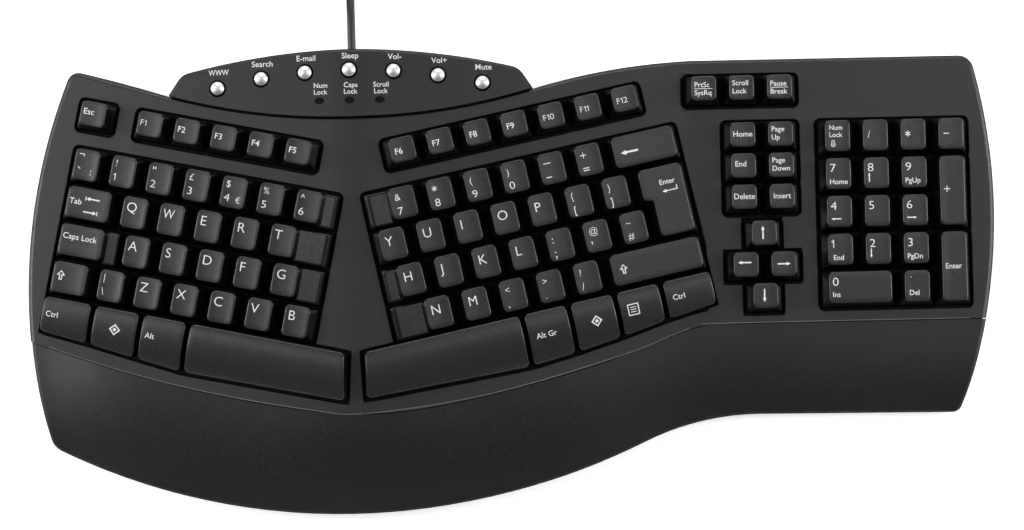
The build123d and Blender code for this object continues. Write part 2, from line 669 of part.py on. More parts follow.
with BuildPart() as dome_mats:
    for side, plane, outline, stems, posts in CARRIERS:
        add(dome_mat(plane, outline, stems))
save(dome_mats.part, "dome_mats")

with BuildPart() as switch_membranes:
    for side, plane, outline, stems, posts in CARRIERS:
        reach = WELL_MARGIN + FRAME_MARGIN - FRAME_WALL - FIT
        add(layer(plane, outline(reach), MAT_TOP + MAT, MEMBRANE))
save(switch_membranes.part, "switch_membranes")

with BuildPart() as base_plates:
    for side, plane, outline, stems, posts in CARRIERS:
        add(layer(plane, outline(WELL_MARGIN + FRAME_MARGIN), PLATE_TOP, BASE_PLATE) & own_side(side))
save(base_plates.part, "base_plates")


# Case outline and its three regions, seen from above
def case_outline(inset=0.0):
    """Face of the whole case seen from above, taken in by an inset."""
    neck_left = (RIDGE_X - PANEL_HALF, PANEL_SEAM_END)
    neck_right = (RIDGE_X + PANEL_HALF, PANEL_SEAM_END)
    shoulder_x, shoulder_y = PANEL_SHOULDER
    with BuildSketch() as face:
        with BuildLine():
            ThreePointArc(BACK_LEFT, LEFT_MIDDLE, FRONT_LEFT)
            TangentArc(FRONT_LOW, FRONT_LEFT, tangent=(-1, 0))
            right_front = TangentArc(FRONT_LOW, FRONT_TURN, tangent=(1, 0))
            TangentArc(FRONT_TURN, FRONT_FLAT, tangent=right_front % 1)
            Line(FRONT_FLAT, FRONT_RIGHT)
            ThreePointArc(FRONT_RIGHT, RIGHT_MIDDLE, BACK_RIGHT)
            Line(BACK_RIGHT, WAIST_END)
            ThreePointArc(WAIST_END, WAIST_MIDDLE, neck_right)
            Line(neck_right, (RIDGE_X + shoulder_x, shoulder_y))
            ThreePointArc((RIDGE_X + shoulder_x, shoulder_y), (RIDGE_X, PANEL_BACK),
                          (RIDGE_X - shoulder_x, shoulder_y))
            Line((RIDGE_X - shoulder_x, shoulder_y), neck_left)
            ThreePointArc(neck_left, NECK_MIDDLE, BACK_LEFT)
        make_face()
        corners = (BACK_LEFT, FRONT_LEFT, FRONT_RIGHT, BACK_RIGHT)
        for (x, y), radius in zip(corners, CORNER_RADII):
            fillet(face.vertices().sort_by_distance((x, y, 0))[0], radius)
        for side in (-1, 1):
            shoulder = (RIDGE_X + side * shoulder_x, shoulder_y, 0)
            fillet(face.vertices().sort_by_distance(shoulder)[0], SHOULDER_RADIUS)
        if inset:
            offset(amount=-inset, kind=Kind.INTERSECTION)
    if not inset:
        return face.sketch
    with BuildSketch() as inner:
        with BuildLine():
            for edge in face.wire().edges():
                if edge.geom_type == GeomType.LINE:
                    Line(edge @ 0, edge @ 1)
                else:
                    ThreePointArc(edge @ 0, edge @ 0.5, edge @ 1)
        make_face()
    return inner.sketch


def palm_area(shift):
    """Everything in front of the palm rest's seam, moved back by a shift."""
    with BuildSketch() as area:
        with BuildLine():
            seam = Spline(*[(x, y + shift) for x, y in PALM_SEAM[:-1]])
            last = (PALM_SEAM[-1][0], PALM_SEAM[-1][1] + shift)
            Line(seam @ 1, last)
            Polyline(last, (last[0], 2 * FRONT_Y), ((seam @ 0).X, 2 * FRONT_Y), seam @ 0)
        make_face()
    return area.sketch


def panel_area(shift):
    """Everything behind the media panel's seam, moved back by a shift."""
    left = (RIDGE_X - PANEL_HALF, PANEL_SEAM_END + shift)
    right = (RIDGE_X + PANEL_HALF, PANEL_SEAM_END + shift)
    reach = 2 * PANEL_BACK
    with BuildSketch() as area:
        with BuildLine():
            ThreePointArc(left, (RIDGE_X, PANEL_SEAM_LOW + shift), right)
            Polyline(right, (right[0] + PANEL_SIDE, right[1] + PANEL_SIDE), (right[0] + PANEL_SIDE, reach),
                     (left[0] - PANEL_SIDE, reach), (left[0] - PANEL_SIDE, left[1] + PANEL_SIDE), left)
        make_face()
    return area.sketch


def below_deck(lift):
    """Everything below the deck's surface, which is raised by a lift."""
    reach = 1.2 * RIGHT_X
    slope = tan(radians(TENT_ANGLE))
    with BuildPart() as block:
        with BuildSketch(Plane.XZ.offset(-1.2 * PANEL_BACK)):
            with BuildLine():
                top = FilletPolyline(
                    (-reach, RIDGE_Z - slope * (reach + RIDGE_X) + lift), (RIDGE_X, RIDGE_Z + lift),
                    (BREAK_X, deck_z(BREAK_X) + lift), (reach, deck_z(reach) + lift),
                    radius=[RIDGE_RADIUS, BREAK_RADIUS],
                )
                Polyline(top @ 1, (reach, 0), (-reach, 0), top @ 0)
            make_face()
        extrude(amount=2.4 * PANEL_BACK)
    return block.part


def seam_y(x):
    """Roughly where the palm rest's seam runs at x."""
    (x0, y0), (x1, y1) = next(pair for pair in zip(PALM_SEAM, PALM_SEAM[1:]) if x <= pair[1][0])
    return y0 + (y1 - y0) * (x - x0) / (x1 - x0)


def front_y(x):
    """Roughly how far forward the case reaches at x."""
    turn_x, turn_y = FRONT_LEFT if x < FRONT_LOW[0] else FRONT_TURN
    reach = abs(turn_x - FRONT_LOW[0])
    rise = turn_y - FRONT_LOW[1]
    radius = (reach ** 2 + rise ** 2) / (2 * rise)
    if abs(x - FRONT_LOW[0]) > reach:
        return FRONT_FLAT[1] if x > 0 else turn_y
    return FRONT_LOW[1] + radius - sqrt(radius ** 2 - (x - FRONT_LOW[0]) ** 2)


def below_palm(drop):
    """Everything below the palm rest's surface, which is lowered by a drop."""
    with BuildPart() as block:
        for i in range(ceil((LEFT_X - RIDGE_X) / PALM_STATION) - 1, floor((RIGHT_X - RIDGE_X) / PALM_STATION) + 2):
            x = RIDGE_X + i * PALM_STATION
            back = seam_y(x)
            front = front_y(x)
            top = deck_z(x) - drop
            lip = PALM_LIP + PALM_LIFT * (deck_z(x) - deck_z(RIGHT_X)) - drop
            with BuildSketch(Plane.YZ.offset(x)):
                with BuildLine():
                    roll = Bezier((back + PALM_OVERLAP, top), (back - PALM_FLAT, top),
                                  (front + PALM_ROLL, lip + PALM_FALL), (front - PALM_OVERLAP, lip - PALM_DROP))
                    Polyline(roll @ 1, (front - PALM_OVERLAP, -PALM_ROLL), (back + PALM_OVERLAP, -PALM_ROLL), roll @ 0)
                make_face()
        loft()
    return block.part


def prism(plan, low, high):
    """Upright block over a plan between two heights."""
    with BuildPart() as block:
        with BuildSketch(Plane.XY.offset(low)):
            add(plan)
        extrude(amount=high - low)
    return block.part


def dressed_case(lid, edge):
    """Solid case up to a lid's surface, with its upper edge rounded."""
    with BuildPart() as body:
        add(prism(case_outline(), PARTING_Z, 2 * RIDGE_Z))
        add(lid, mode=Mode.INTERSECT)
        border = case_outline().wire()
        upper = body.edges().filter_by(lambda edge: (edge @ 0.5).Z > PARTING_Z + 0.1 and (edge % 0.5).Z ** 2 < 0.5)
        outer = upper.filter_by(lambda edge: border.distance_to(Vertex((edge @ 0.5).X, (edge @ 0.5).Y, 0)) < 0.01)
        fillet(outer, edge)
    return body.part


def shell(name, lid, under, edge):
    """Open-bottomed shell of one region of the case: the cover, the panel or the palm rest."""
    half = SEAM / 2
    with BuildPart() as body:
        add(dressed_case(lid, edge))
        if name == "cover":
            add(prism(palm_area(half), 0, 2 * RIDGE_Z), mode=Mode.SUBTRACT)
            add(prism(panel_area(-half), 0, 2 * RIDGE_Z), mode=Mode.SUBTRACT)
        elif name == "panel":
            add(prism(panel_area(half), 0, 2 * RIDGE_Z), mode=Mode.INTERSECT)
        else:
            add(prism(palm_area(-half), 0, 2 * RIDGE_Z), mode=Mode.INTERSECT)
        with BuildSketch() as inside:
            add(case_outline(WALL))
            if name == "cover":
                add(palm_area(half + SEAM_WALL), mode=Mode.SUBTRACT)
                add(panel_area(-half - SEAM_WALL), mode=Mode.SUBTRACT)
            elif name == "panel":
                add(panel_area(half + SEAM_WALL), mode=Mode.INTERSECT)
            else:
                add(palm_area(-half - SEAM_WALL), mode=Mode.INTERSECT)
        hollow = prism(inside.sketch, 0, 2 * RIDGE_Z) & under
        add(hollow, mode=Mode.SUBTRACT)
    return body.part


def well_bevel(plane, well):
    """Bevel round an opening, to be cut from the deck."""
    with BuildPart() as bevel:
        for height, margin in ((-WELL_BEVEL, WELL_MARGIN), (WELL_BEVEL, WELL_MARGIN + 2 * WELL_BEVEL)):
            with BuildSketch(plane.offset(height)):
                with BuildLine():
                    Polyline(*well(margin), close=True)
                make_face()
        loft(ruled=True)
    return bevel.part


def lid_posts(name, under):
    """Posts below a lid that take its screws."""
    with BuildPart() as posts:
        with BuildSketch(Plane.XY.offset(BOSS_TOP)):
            with Locations(*SCREW_PLACES[name]):
                RegularPolygon(BOSS, 8)
        extrude(amount=2 * RIDGE_Z)
        add(under, mode=Mode.INTERSECT)
        with BuildSketch(Plane.XY.offset(BOSS_TOP)):
            with Locations(*SCREW_PLACES[name]):
                Circle(SCREW_SHANK)
        extrude(amount=SCREW_LENGTH, mode=Mode.SUBTRACT)
    return posts.part


def frame_room():
    """Space that the key carriers take below the deck, with a clearance round it."""
    with BuildPart() as room:
        for side, plane, outline, stems, posts in CARRIERS:
            add(layer(plane, outline(WELL_MARGIN + FRAME_MARGIN + FIT), FRAME_TOP, PLATE_TOP + BASE_PLATE))
    return room.part


# Top cover, with its openings and the rims that carry the frames
FRAME_ROOM = frame_room()
with BuildPart() as top_cover:
    add(shell("cover", below_deck(0), below_deck(-WALL), EDGE_RADIUS))
    add(lid_posts("cover", below_deck(-WALL / 2)))
    add(FRAME_ROOM, mode=Mode.SUBTRACT)
    for plane, wells in BLOCKS:
        for well in wells:
            add(layer(plane, [well(WELL_MARGIN + RIM_WALL)], WALL / 2, FRAME_TOP - WALL / 2))
    for plane, wells in BLOCKS:
        for well in wells:
            add(layer(plane, [well(WELL_MARGIN)], -CAP_TOP, CAP_TOP + 2 * FRAME_TOP), mode=Mode.SUBTRACT)
            add(well_bevel(plane, well), mode=Mode.SUBTRACT)
save(top_cover.part, "top_cover")

with BuildPart() as palm_rest:
    add(shell("palm", below_palm(0), below_palm(WALL), PALM_EDGE))
    add(lid_posts("palm", below_palm(WALL / 2)))
    add(FRAME_ROOM, mode=Mode.SUBTRACT)
save(palm_rest.part, "palm_rest")


# Media panel and what lies below it
MEDIA_PLACES = []
for i in range(MEDIA_COUNT):
    across = (i - (MEDIA_COUNT - 1) / 2) * MEDIA_PITCH
    MEDIA_PLACES.append((RIDGE_X + across, MEDIA_Y - MEDIA_ARC + sqrt(MEDIA_ARC ** 2 - across ** 2)))
LIGHT_PLACES = [(RIDGE_X + i * LIGHT_PITCH, LIGHT_Y) for i in (-1, 0, 1)]
STRIP_HALF = (MEDIA_COUNT - 1) / 2 * MEDIA_PITCH + STRIP_END
STRIP_POSTS = [
    ((x0 + x1) / 2, (y0 + y1) / 2)
    for (x0, y0), (x1, y1) in (MEDIA_PLACES[:2], MEDIA_PLACES[-2:])
]


def panel_z(x):
    """Height of the media panel's surface at x."""
    return deck_z(x) + PANEL_RISE


with BuildPart() as media_panel:
    add(shell("panel", below_deck(PANEL_RISE), below_deck(PANEL_RISE - WALL), PANEL_EDGE))
    add(lid_posts("panel", below_deck(PANEL_RISE - WALL / 2)))
    with BuildSketch(Plane.XY.offset(BOSS_TOP)):
        with Locations(*STRIP_POSTS):
            RegularPolygon(STRIP_POST, 6)
    extrude(amount=2 * RIDGE_Z)
    add(below_deck(PANEL_RISE), mode=Mode.INTERSECT)
    with BuildPart(mode=Mode.SUBTRACT):
        with BuildSketch(Plane.XY):
            with Locations(*STRIP_POSTS):
                Rectangle(STRIP_WIDTH, STRIP_WIDTH)
        extrude(amount=2 * RIDGE_Z)
        add(below_deck(PANEL_RISE - STRIP_DEPTH), mode=Mode.INTERSECT)
    with BuildSketch(Plane.XY.offset(BOSS_TOP)):
        with Locations(*MEDIA_PLACES):
            Circle(BUTTON_HOLE)
        with Locations(*LIGHT_PLACES):
            Ellipse(LIGHT_SIZE[0] + LIGHT_FIT, LIGHT_SIZE[1] + LIGHT_FIT)
    extrude(amount=2 * RIDGE_Z, mode=Mode.SUBTRACT)
    with BuildSketch(Plane.XZ.offset(-PANEL_BACK - WALL)):
        with Locations((RIDGE_X, CORD_EXIT_Z)):
            Circle(GLAND_RADIUS)
    extrude(amount=3 * WALL, mode=Mode.SUBTRACT)
save(media_panel.part, "media_panel")

with BuildPart() as media_buttons:
    for x, y in MEDIA_PLACES:
        seat = panel_z(x) - WALL - BUTTON_SEAT
        crest = panel_z(x) + BUTTON_RISE
        with BuildSketch(Plane(origin=(x, y, 0), x_dir=(1, 0, 0), z_dir=(0, -1, 0))):
            with BuildLine():
                shoulder = crest - BUTTON_DOME + sqrt(BUTTON_DOME ** 2 - BUTTON_RADIUS ** 2)
                dome = RadiusArc((BUTTON_RADIUS, shoulder), (0, crest), -BUTTON_DOME)
                Polyline(
                    (0, crest), (0, panel_z(x) - STRIP_DEPTH + BUTTON_TRAVEL + FIT),
                    (BUTTON_STEM, panel_z(x) - STRIP_DEPTH + BUTTON_TRAVEL + FIT),
                    (BUTTON_STEM, seat - BUTTON_FLANGE_THICK), (BUTTON_FLANGE, seat - BUTTON_FLANGE_THICK),
                    (BUTTON_FLANGE, seat), (BUTTON_RADIUS, seat), (BUTTON_RADIUS, shoulder),
                )
            make_face()
        revolve(axis=Axis((x, y, 0), (0, 0, 1)))
save(media_buttons.part, "media_buttons")

with BuildPart() as media_switch_strip:
    with BuildSketch(Plane.XY) as band:
        with Locations((RIDGE_X, MEDIA_Y - MEDIA_ARC)):
            Circle(MEDIA_ARC + STRIP_WIDTH / 2)
            Circle(MEDIA_ARC - STRIP_WIDTH / 2, mode=Mode.SUBTRACT)
        with Locations((RIDGE_X, MEDIA_Y)):
            Rectangle(2 * STRIP_HALF, MEDIA_ARC / 2, mode=Mode.INTERSECT)
    extrude(amount=2 * RIDGE_Z)
    add(below_deck(PANEL_RISE - STRIP_DEPTH), mode=Mode.INTERSECT)
    add(below_deck(PANEL_RISE - STRIP_DEPTH - STRIP), mode=Mode.SUBTRACT)
save(media_switch_strip.part, "media_switch_strip")

with BuildPart() as status_lights:
    for x, y in LIGHT_PLACES:
        with BuildSketch(Plane.XY.offset(BOARD_Z + BOARD)):
            with Locations((x, y)):
                Ellipse(*LIGHT_SIZE)
        extrude(amount=panel_z(x) + LIGHT_PROUD - BOARD_Z - BOARD)
save(status_lights.part, "status_lights")

with BuildPart() as controller_board:
    with BuildSketch(Plane.XY.offset(BOARD_Z)):
        with Locations((RIDGE_X, BOARD_Y)):
            Rectangle(*BOARD_SIZE)
    extrude(amount=BOARD)
    with Locations((RIDGE_X - BOARD_SIZE[0] / 4, BOARD_Y, BOARD_Z + BOARD)):
        Box(*CHIP, align=(Align.CENTER, Align.CENTER, Align.MIN))
    with Locations((RIDGE_X, BOARD_Y + BOARD_SIZE[1] / 2, BOARD_Z + BOARD)):
        Box(*SOCKET, align=(Align.CENTER, Align.MAX, Align.MIN))
save(controller_board.part, "controller_board")


# Tray, flip feet, rubber feet and screws
TRAY_TOP = FOOT_HEIGHT + TRAY_FLOOR
FLIP_AXIS_Z = FOOT_HEIGHT + FLIP_THICK / 2
POCKET_BACK = FLIP_THICK / 2 + FLIP_CLEARANCE
POCKET_LENGTH = FLIP_LENGTH + POCKET_BACK + FLIP_CLEARANCE
POCKET_WIDTH = FLIP_WIDTH + 2 * FLIP_CLEARANCE
ALL_SCREWS = [place for places in SCREW_PLACES.values() for place in places]
BOARD_POSTS = [
    (RIDGE_X + i * (BOARD_SIZE[0] / 2 - BOARD_POST), BOARD_Y + j * (BOARD_SIZE[1] / 2 - BOARD_POST))
    for i in (-1, 1) for j in (-1, 1)
]

with BuildPart() as bottom_case:
    add(prism(case_outline(), FOOT_HEIGHT, PARTING_Z))
    chamfer(faces().sort_by(Axis.Z)[0].edges(), TRAY_CHAMFER)
    add(prism(case_outline(TRAY_WALL), TRAY_TOP, PARTING_Z), mode=Mode.SUBTRACT)
    with BuildSketch(Plane.XY.offset(FOOT_HEIGHT)):
        with Locations(*ALL_SCREWS):
            RegularPolygon(BOSS, 8)
    extrude(amount=BOSS_TOP - FOOT_HEIGHT)
    with BuildSketch(Plane.XY.offset(TRAY_TOP)):
        with Locations(*BOARD_POSTS):
            RegularPolygon(BOARD_POST, 6)
    extrude(amount=BOARD_Z - TRAY_TOP)
    with BuildSketch(Plane.XY.offset(FOOT_HEIGHT)):
        for x, y in FLIP_PLACES:
            with Locations((x, y + POCKET_BACK + POCKET_WALL)):
                Rectangle(POCKET_WIDTH + 2 * POCKET_WALL, POCKET_LENGTH + 2 * POCKET_WALL,
                          align=(Align.CENTER, Align.MAX))
    extrude(amount=FLIP_THICK + FLIP_CLEARANCE + POCKET_WALL)
    with BuildSketch(Plane.XY.offset(FOOT_HEIGHT)):
        for x, y in FLIP_PLACES:
            with Locations((x, y + POCKET_BACK)):
                Rectangle(POCKET_WIDTH, POCKET_LENGTH, align=(Align.CENTER, Align.MAX))
    extrude(amount=FLIP_THICK + FLIP_CLEARANCE, mode=Mode.SUBTRACT)
    with Locations(*[(x, y, FLIP_AXIS_Z) for x, y in FLIP_PLACES]):
        Cylinder(FLIP_PIN + PIN_FIT, FLIP_WIDTH + 2 * PIN_REACH + 2 * PIN_FIT, rotation=(0, 90, 0),
                 mode=Mode.SUBTRACT)
    with BuildSketch(Plane.XY.offset(FOOT_HEIGHT)):
        with Locations(*ALL_SCREWS):
            Circle(SCREW_SHANK)
    extrude(amount=BOSS_TOP, mode=Mode.SUBTRACT)
    with BuildSketch(Plane.XY.offset(FOOT_HEIGHT)):
        with Locations(*ALL_SCREWS):
            RegularPolygon(SCREW_HEAD + PIN_FIT, 8)
    extrude(amount=SCREW_HEAD_DEPTH, mode=Mode.SUBTRACT)
save(bottom_case.part, "bottom_case")

for (x, y), name in zip(FLIP_PLACES, ("flip_foot_left", "flip_foot_right")):
    with BuildPart() as flip_foot:
        with BuildSketch(Plane(origin=(x - FLIP_WIDTH / 2, y, FLIP_AXIS_Z), x_dir=(0, 1, 0), z_dir=(1, 0, 0))):
            Circle(FLIP_THICK / 2)
            Rectangle(FLIP_LENGTH, FLIP_THICK, align=(Align.MAX, Align.CENTER))
        extrude(amount=FLIP_WIDTH)
        with Locations((x, y, FLIP_AXIS_Z)):
            Cylinder(FLIP_PIN, FLIP_WIDTH + 2 * PIN_REACH, rotation=(0, 90, 0))
    save(flip_foot.part, name)

with BuildPart() as rubber_feet:
    with BuildSketch(Plane.XY):
        with Locations(*PAD_PLACES):
            SlotOverall(*PAD_SIZE)
    extrude(amount=FOOT_HEIGHT)
save(rubber_feet.part, "rubber_feet")

with BuildPart() as case_screws:
    with BuildSketch(Plane.XY.offset(FOOT_HEIGHT)):
        with Locations(*ALL_SCREWS):
            RegularPolygon(SCREW_HEAD, 8)
    extrude(amount=SCREW_HEAD_DEPTH)
    with BuildSketch(Plane.XY.offset(FOOT_HEIGHT + SCREW_HEAD_DEPTH)):
        with Locations(*ALL_SCREWS):
            RegularPolygon(SCREW_SHANK, 6)
    extrude(amount=SCREW_LENGTH)
save(case_screws.part, "case_screws")


# Gland, lead, put-away coil, its tie and the plug
with BuildPart() as cable_gland:
    with BuildSketch(Plane.XZ.offset(-PANEL_BACK - GLAND_PROUD)):
        with Locations((RIDGE_X, CORD_EXIT_Z)):
            Circle(GLAND_FLANGE)
    extrude(amount=GLAND_PROUD)
    chamfer(faces().sort_by(Axis.Y)[-1].edges(), GLAND_PROUD / 2)
    with BuildSketch(Plane.XZ.offset(-PANEL_BACK)):
        with Locations((RIDGE_X, CORD_EXIT_Z)):
            Circle(GLAND_RADIUS)
    extrude(amount=GLAND_DEPTH)
save(cable_gland.part, "cable_gland")

CORD_RADIUS = CORD_DIAMETER / 2
CORD_EXIT = (RIDGE_X, PANEL_BACK + GLAND_PROUD, CORD_EXIT_Z)
ROUTE = [Vector(*CORD_EXIT)] + [Vector(RIDGE_X + x, y, z) for x, y, z in CORD_ROUTE]
with BuildPart() as usb_cord:
    radii = []
    for before, corner, after in zip(ROUTE, ROUTE[1:], ROUTE[2:]):
        shorter = min((corner - before).length, (after - corner).length)
        turn = radians((corner - before).get_angle(after - corner))
        radii.append(0.45 * shorter / tan(turn / 2))
    with BuildLine() as cord_path:
        FilletPolyline(*ROUTE, radius=radii)
    with BuildSketch(Plane(origin=ROUTE[0], x_dir=(1, 0, 0), z_dir=(0, 1, 0))):
        Circle(CORD_RADIUS)
    sweep()
save(usb_cord.part, "usb_cord")
print("lead's bend radii", [round(radius, 1) for radius in radii])

COIL_HALVES = COIL_LAYERS * (LAYER_HALVES + 1)
FREE_LENGTH = cord_path.wire().length
COIL_MEAN = (CORD_LENGTH - FREE_LENGTH - 2 * CORD_DIAMETER) / (pi * (COIL_HALVES + LAST_TURN))
LAYER_RADII = [COIL_MEAN + (LAYER_HALVES / 2 - i) * COIL_PITCH / 2 for i in range(LAYER_HALVES + 1)]
LAYER_RADII[0] += TURN_ROOM
LAYER_RADII[-1] -= TURN_ROOM
COIL_X = ROUTE[-1].X - LAYER_RADII[0]
COIL_Y = ROUTE[-1].Y + CORD_DIAMETER
PLUG_Z = ROUTE[-1].Z + (COIL_LAYERS - 1) * LAYER_PITCH + CORD_RADIUS + PLUG_SIZE[1] / 2 + FIT


def coil_points():
    """Where the coil's half turns meet, from the desk upwards, in and out again."""
    points = []
    for layer_index in range(COIL_LAYERS):
        for radius in LAYER_RADII[::-1] if layer_index % 2 else LAYER_RADII:
            side = -1 if len(points) % 2 else 1
            z = ROUTE[-1].Z + layer_index * LAYER_PITCH
            points.append(Vector(COIL_X + side * radius, COIL_Y, z))
    points.append(Vector(COIL_X + LAYER_RADII[0], COIL_Y, ROUTE[-1].Z + COIL_LAYERS * LAYER_PITCH))
    points.append(Vector(COIL_X + PLUG_PLACE[0], COIL_Y + PLUG_PLACE[1], PLUG_Z))
    return points


with BuildPart() as cord_coil:
    turns = coil_points()
    with BuildLine() as coil_path:
        Line(ROUTE[-1], turns[0])
        for i, (start, end) in enumerate(zip(turns, turns[1:])):
            heading = Vector(0, -1 if i % 2 else 1, 0)
            middle = (start + end) / 2 + heading * ((end - start).length / 2)
            TangentArc(start, middle, tangent=heading)
            TangentArc(middle, end, tangent=end - start)
        Line(turns[-1], turns[-1] - Vector(0, CORD_DIAMETER, 0))
    with BuildSketch(Plane(origin=ROUTE[-1], x_dir=(1, 0, 0), z_dir=(0, 1, 0))):
        RegularPolygon(CORD_RADIUS, COIL_SIDES)
    sweep()
save(cord_coil.part, "cord_coil")


def least_gap(path, step):
    """Least gap between a tube's turns, measured on points along its path."""
    count = int(path.length / step)
    points = [path @ (i / count) for i in range(count + 1)]
    apart = int(4 * CORD_DIAMETER / step)
    return min((a - b).length for i, a in enumerate(points) for b in points[i + apart:]) - CORD_DIAMETER


print("length of the lead", round(FREE_LENGTH + coil_path.wire().length, 1), "mm")
print("least gap in the coil", round(least_gap(coil_path.wire(), CORD_DIAMETER / 2), 2), "mm")

with BuildPart() as cord_tie:
    low = COIL_Y + LAYER_RADII[-1] - CORD_RADIUS - TIE_FIT
    high = COIL_Y + LAYER_RADII[0] + CORD_RADIUS + TIE_FIT
    top = ROUTE[-1].Z + (COIL_LAYERS - 1) * LAYER_PITCH + CORD_RADIUS + TIE_FIT
    bottom = ROUTE[-1].Z - CORD_RADIUS - TIE_FIT
    with BuildSketch(Plane.YZ.offset(COIL_X - TIE_WIDTH / 2)):
        with Locations(((low + high) / 2, (bottom + top) / 2)):
            Rectangle(high - low + 2 * TIE, top - bottom + 2 * TIE)
            Rectangle(high - low, top - bottom, mode=Mode.SUBTRACT)
    extrude(amount=TIE_WIDTH)
save(cord_tie.part, "cord_tie")

with BuildPart() as usb_plug:
    plug_start = turns[-1] - Vector(0, CORD_DIAMETER, 0)
    plug_plane = Plane(origin=plug_start, x_dir=(1, 0, 0), z_dir=(0, -1, 0))
    with BuildSketch(plug_plane):
        RegularPolygon(CORD_RADIUS + FIT, 8)
    with BuildSketch(plug_plane.offset(RELIEF_LENGTH)):
        RegularPolygon(RELIEF_END, 8)
    loft(ruled=True)
    with BuildSketch(plug_plane.offset(RELIEF_LENGTH)) as body_end:
        Rectangle(PLUG_SIZE[0], PLUG_SIZE[1])
        chamfer(body_end.vertices(), PLUG_CHAMFER)
    extrude(amount=PLUG_SIZE[2])
    with BuildSketch(plug_plane.offset(RELIEF_LENGTH + PLUG_SIZE[2])):
        Rectangle(SHELL_SIZE[0], SHELL_SIZE[1])
        Rectangle(SHELL_SIZE[0] - 2 * SHELL_WALL, SHELL_SIZE[1] - 2 * SHELL_WALL, mode=Mode.SUBTRACT)
        with Locations((0, (SHELL_SIZE[1] - TONGUE) / 2 - SHELL_WALL)):
            Rectangle(SHELL_SIZE[0] - 2 * SHELL_WALL, TONGUE)
    extrude(amount=SHELL_SIZE[2])
save(usb_plug.part, "usb_plug")
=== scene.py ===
"""Looks of an ergonomic split keyboard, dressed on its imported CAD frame.

The frame gives every piece its place. This script adds the fine keycaps with their printed legends, the
lead with its put-away coil, the finishes and the studio. Its own sizes are in millimetres, like the CAD's.
"""

import json
import logging
from dataclasses import dataclass
from enum import Enum
from math import cos, hypot, pi, radians, sin, sqrt, tan
from typing import Callable, Iterable, NamedTuple, Sequence

import bmesh
import bpy
from mathutils import Matrix, Vector
from mathutils.geometry import delaunay_2d_cdt

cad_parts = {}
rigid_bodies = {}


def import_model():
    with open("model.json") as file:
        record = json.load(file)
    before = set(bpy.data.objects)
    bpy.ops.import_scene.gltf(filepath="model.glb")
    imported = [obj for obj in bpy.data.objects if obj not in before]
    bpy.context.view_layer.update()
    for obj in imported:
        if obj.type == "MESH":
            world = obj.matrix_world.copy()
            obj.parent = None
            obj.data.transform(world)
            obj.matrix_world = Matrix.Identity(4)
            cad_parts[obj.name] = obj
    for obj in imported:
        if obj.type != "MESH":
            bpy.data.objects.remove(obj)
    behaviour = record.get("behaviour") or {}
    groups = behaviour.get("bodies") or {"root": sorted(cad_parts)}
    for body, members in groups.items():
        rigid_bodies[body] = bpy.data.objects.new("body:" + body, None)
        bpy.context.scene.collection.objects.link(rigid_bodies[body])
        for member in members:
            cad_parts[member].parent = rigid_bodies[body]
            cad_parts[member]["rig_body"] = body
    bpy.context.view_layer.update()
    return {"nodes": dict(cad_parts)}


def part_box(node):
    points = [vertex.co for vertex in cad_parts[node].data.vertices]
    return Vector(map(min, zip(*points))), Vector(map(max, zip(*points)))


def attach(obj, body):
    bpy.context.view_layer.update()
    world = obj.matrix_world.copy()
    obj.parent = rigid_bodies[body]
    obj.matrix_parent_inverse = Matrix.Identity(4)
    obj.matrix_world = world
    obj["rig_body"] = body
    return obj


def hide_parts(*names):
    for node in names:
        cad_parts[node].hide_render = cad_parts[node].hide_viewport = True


log = logging.getLogger("keyboard")

MM = 0.001                  # Blender works in metres
RIDGE_X = -79.0             # ridge between the two letter blocks
RIDGE_Z = 37.0
RIDGE_RADIUS = 100.0
TENT = radians(5.5)         # fall of each letter block away from the ridge
SPLIT = radians(12.0)       # how far each letter block is turned
BREAK_X = 92.0              # where the side block's gentler slope starts
SIDE_FALL = radians(1.0)
PANEL_RISE = 1.4            # media panel above the deck
PRINT = 0.03                # thickness of printed ink above its surface
NEARLY_HALF = 0.49          # most of a side that one corner's rounding takes
PER_MM = 500                # steps in a millimetre to which a solid's corners are told apart
ROW = 8.0                   # solids whose middles lie this near from front to back are in one row

Point2 = tuple[float, float]
Point3 = tuple[float, float, float]
Line = tuple[float, float, float, float]
Outline = list[Point2]
Crown = Callable[[float, float], float]     # height of a surface at a point
Mesh = tuple[list[Vector], list[tuple[int, ...]]]
Nodes = dict[str, bpy.types.Object]         # the frame's nodes by name

# How a face's lean sets its painted shade: the upward part of its normal to its share of the open colour
LEAN = {"From Min": 0.5, "From Max": 0.92, "To Min": 0.2, "To Max": 1.0}
NOISE = {"From Min": 0.3, "From Max": 0.7}  # where most values of a noise lie


def linear(value: str) -> Point3:
    """Turn a colour from sRGB hex to linear light.

    Args:
        value: Six hex digits, such as "3a3b3d".

    Returns:
        Red, green and blue as Blender's sockets take them.
    """
    parts = [int(value[i:i + 2], 16) / 255 for i in (0, 2, 4)]
    return tuple(c / 12.92 if c <= 0.04045 else ((c + 0.055) / 1.055) ** 2.4 for c in parts)


def add_node(material: bpy.types.ID, kind: str, inputs: dict | None = None, **settings) -> bpy.types.Node:
    """Add a shader node with its settings and links.

    Args:
        material: Material or world that the node goes into.
        kind: Blender's name of the node's type.
        inputs: Socket name or number to a value, or to a (node, output name) pair that feeds it.
        settings: Attributes of the node itself.

    Returns:
        The new node.
    """
    tree = material.node_tree
    node = tree.nodes.new(kind)
    for name, value in settings.items():
        setattr(node, name, value)
    for name, value in (inputs or {}).items():
        if isinstance(value, tuple) and isinstance(value[0], bpy.types.Node):
            tree.links.new(value[0].outputs[value[1]], node.inputs[name])
        elif isinstance(value, tuple) and len(value) == 3 and len(node.inputs[name].default_value) == 4:
            node.inputs[name].default_value = (*value, 1.0)
        else:
            node.inputs[name].default_value = value
    return node


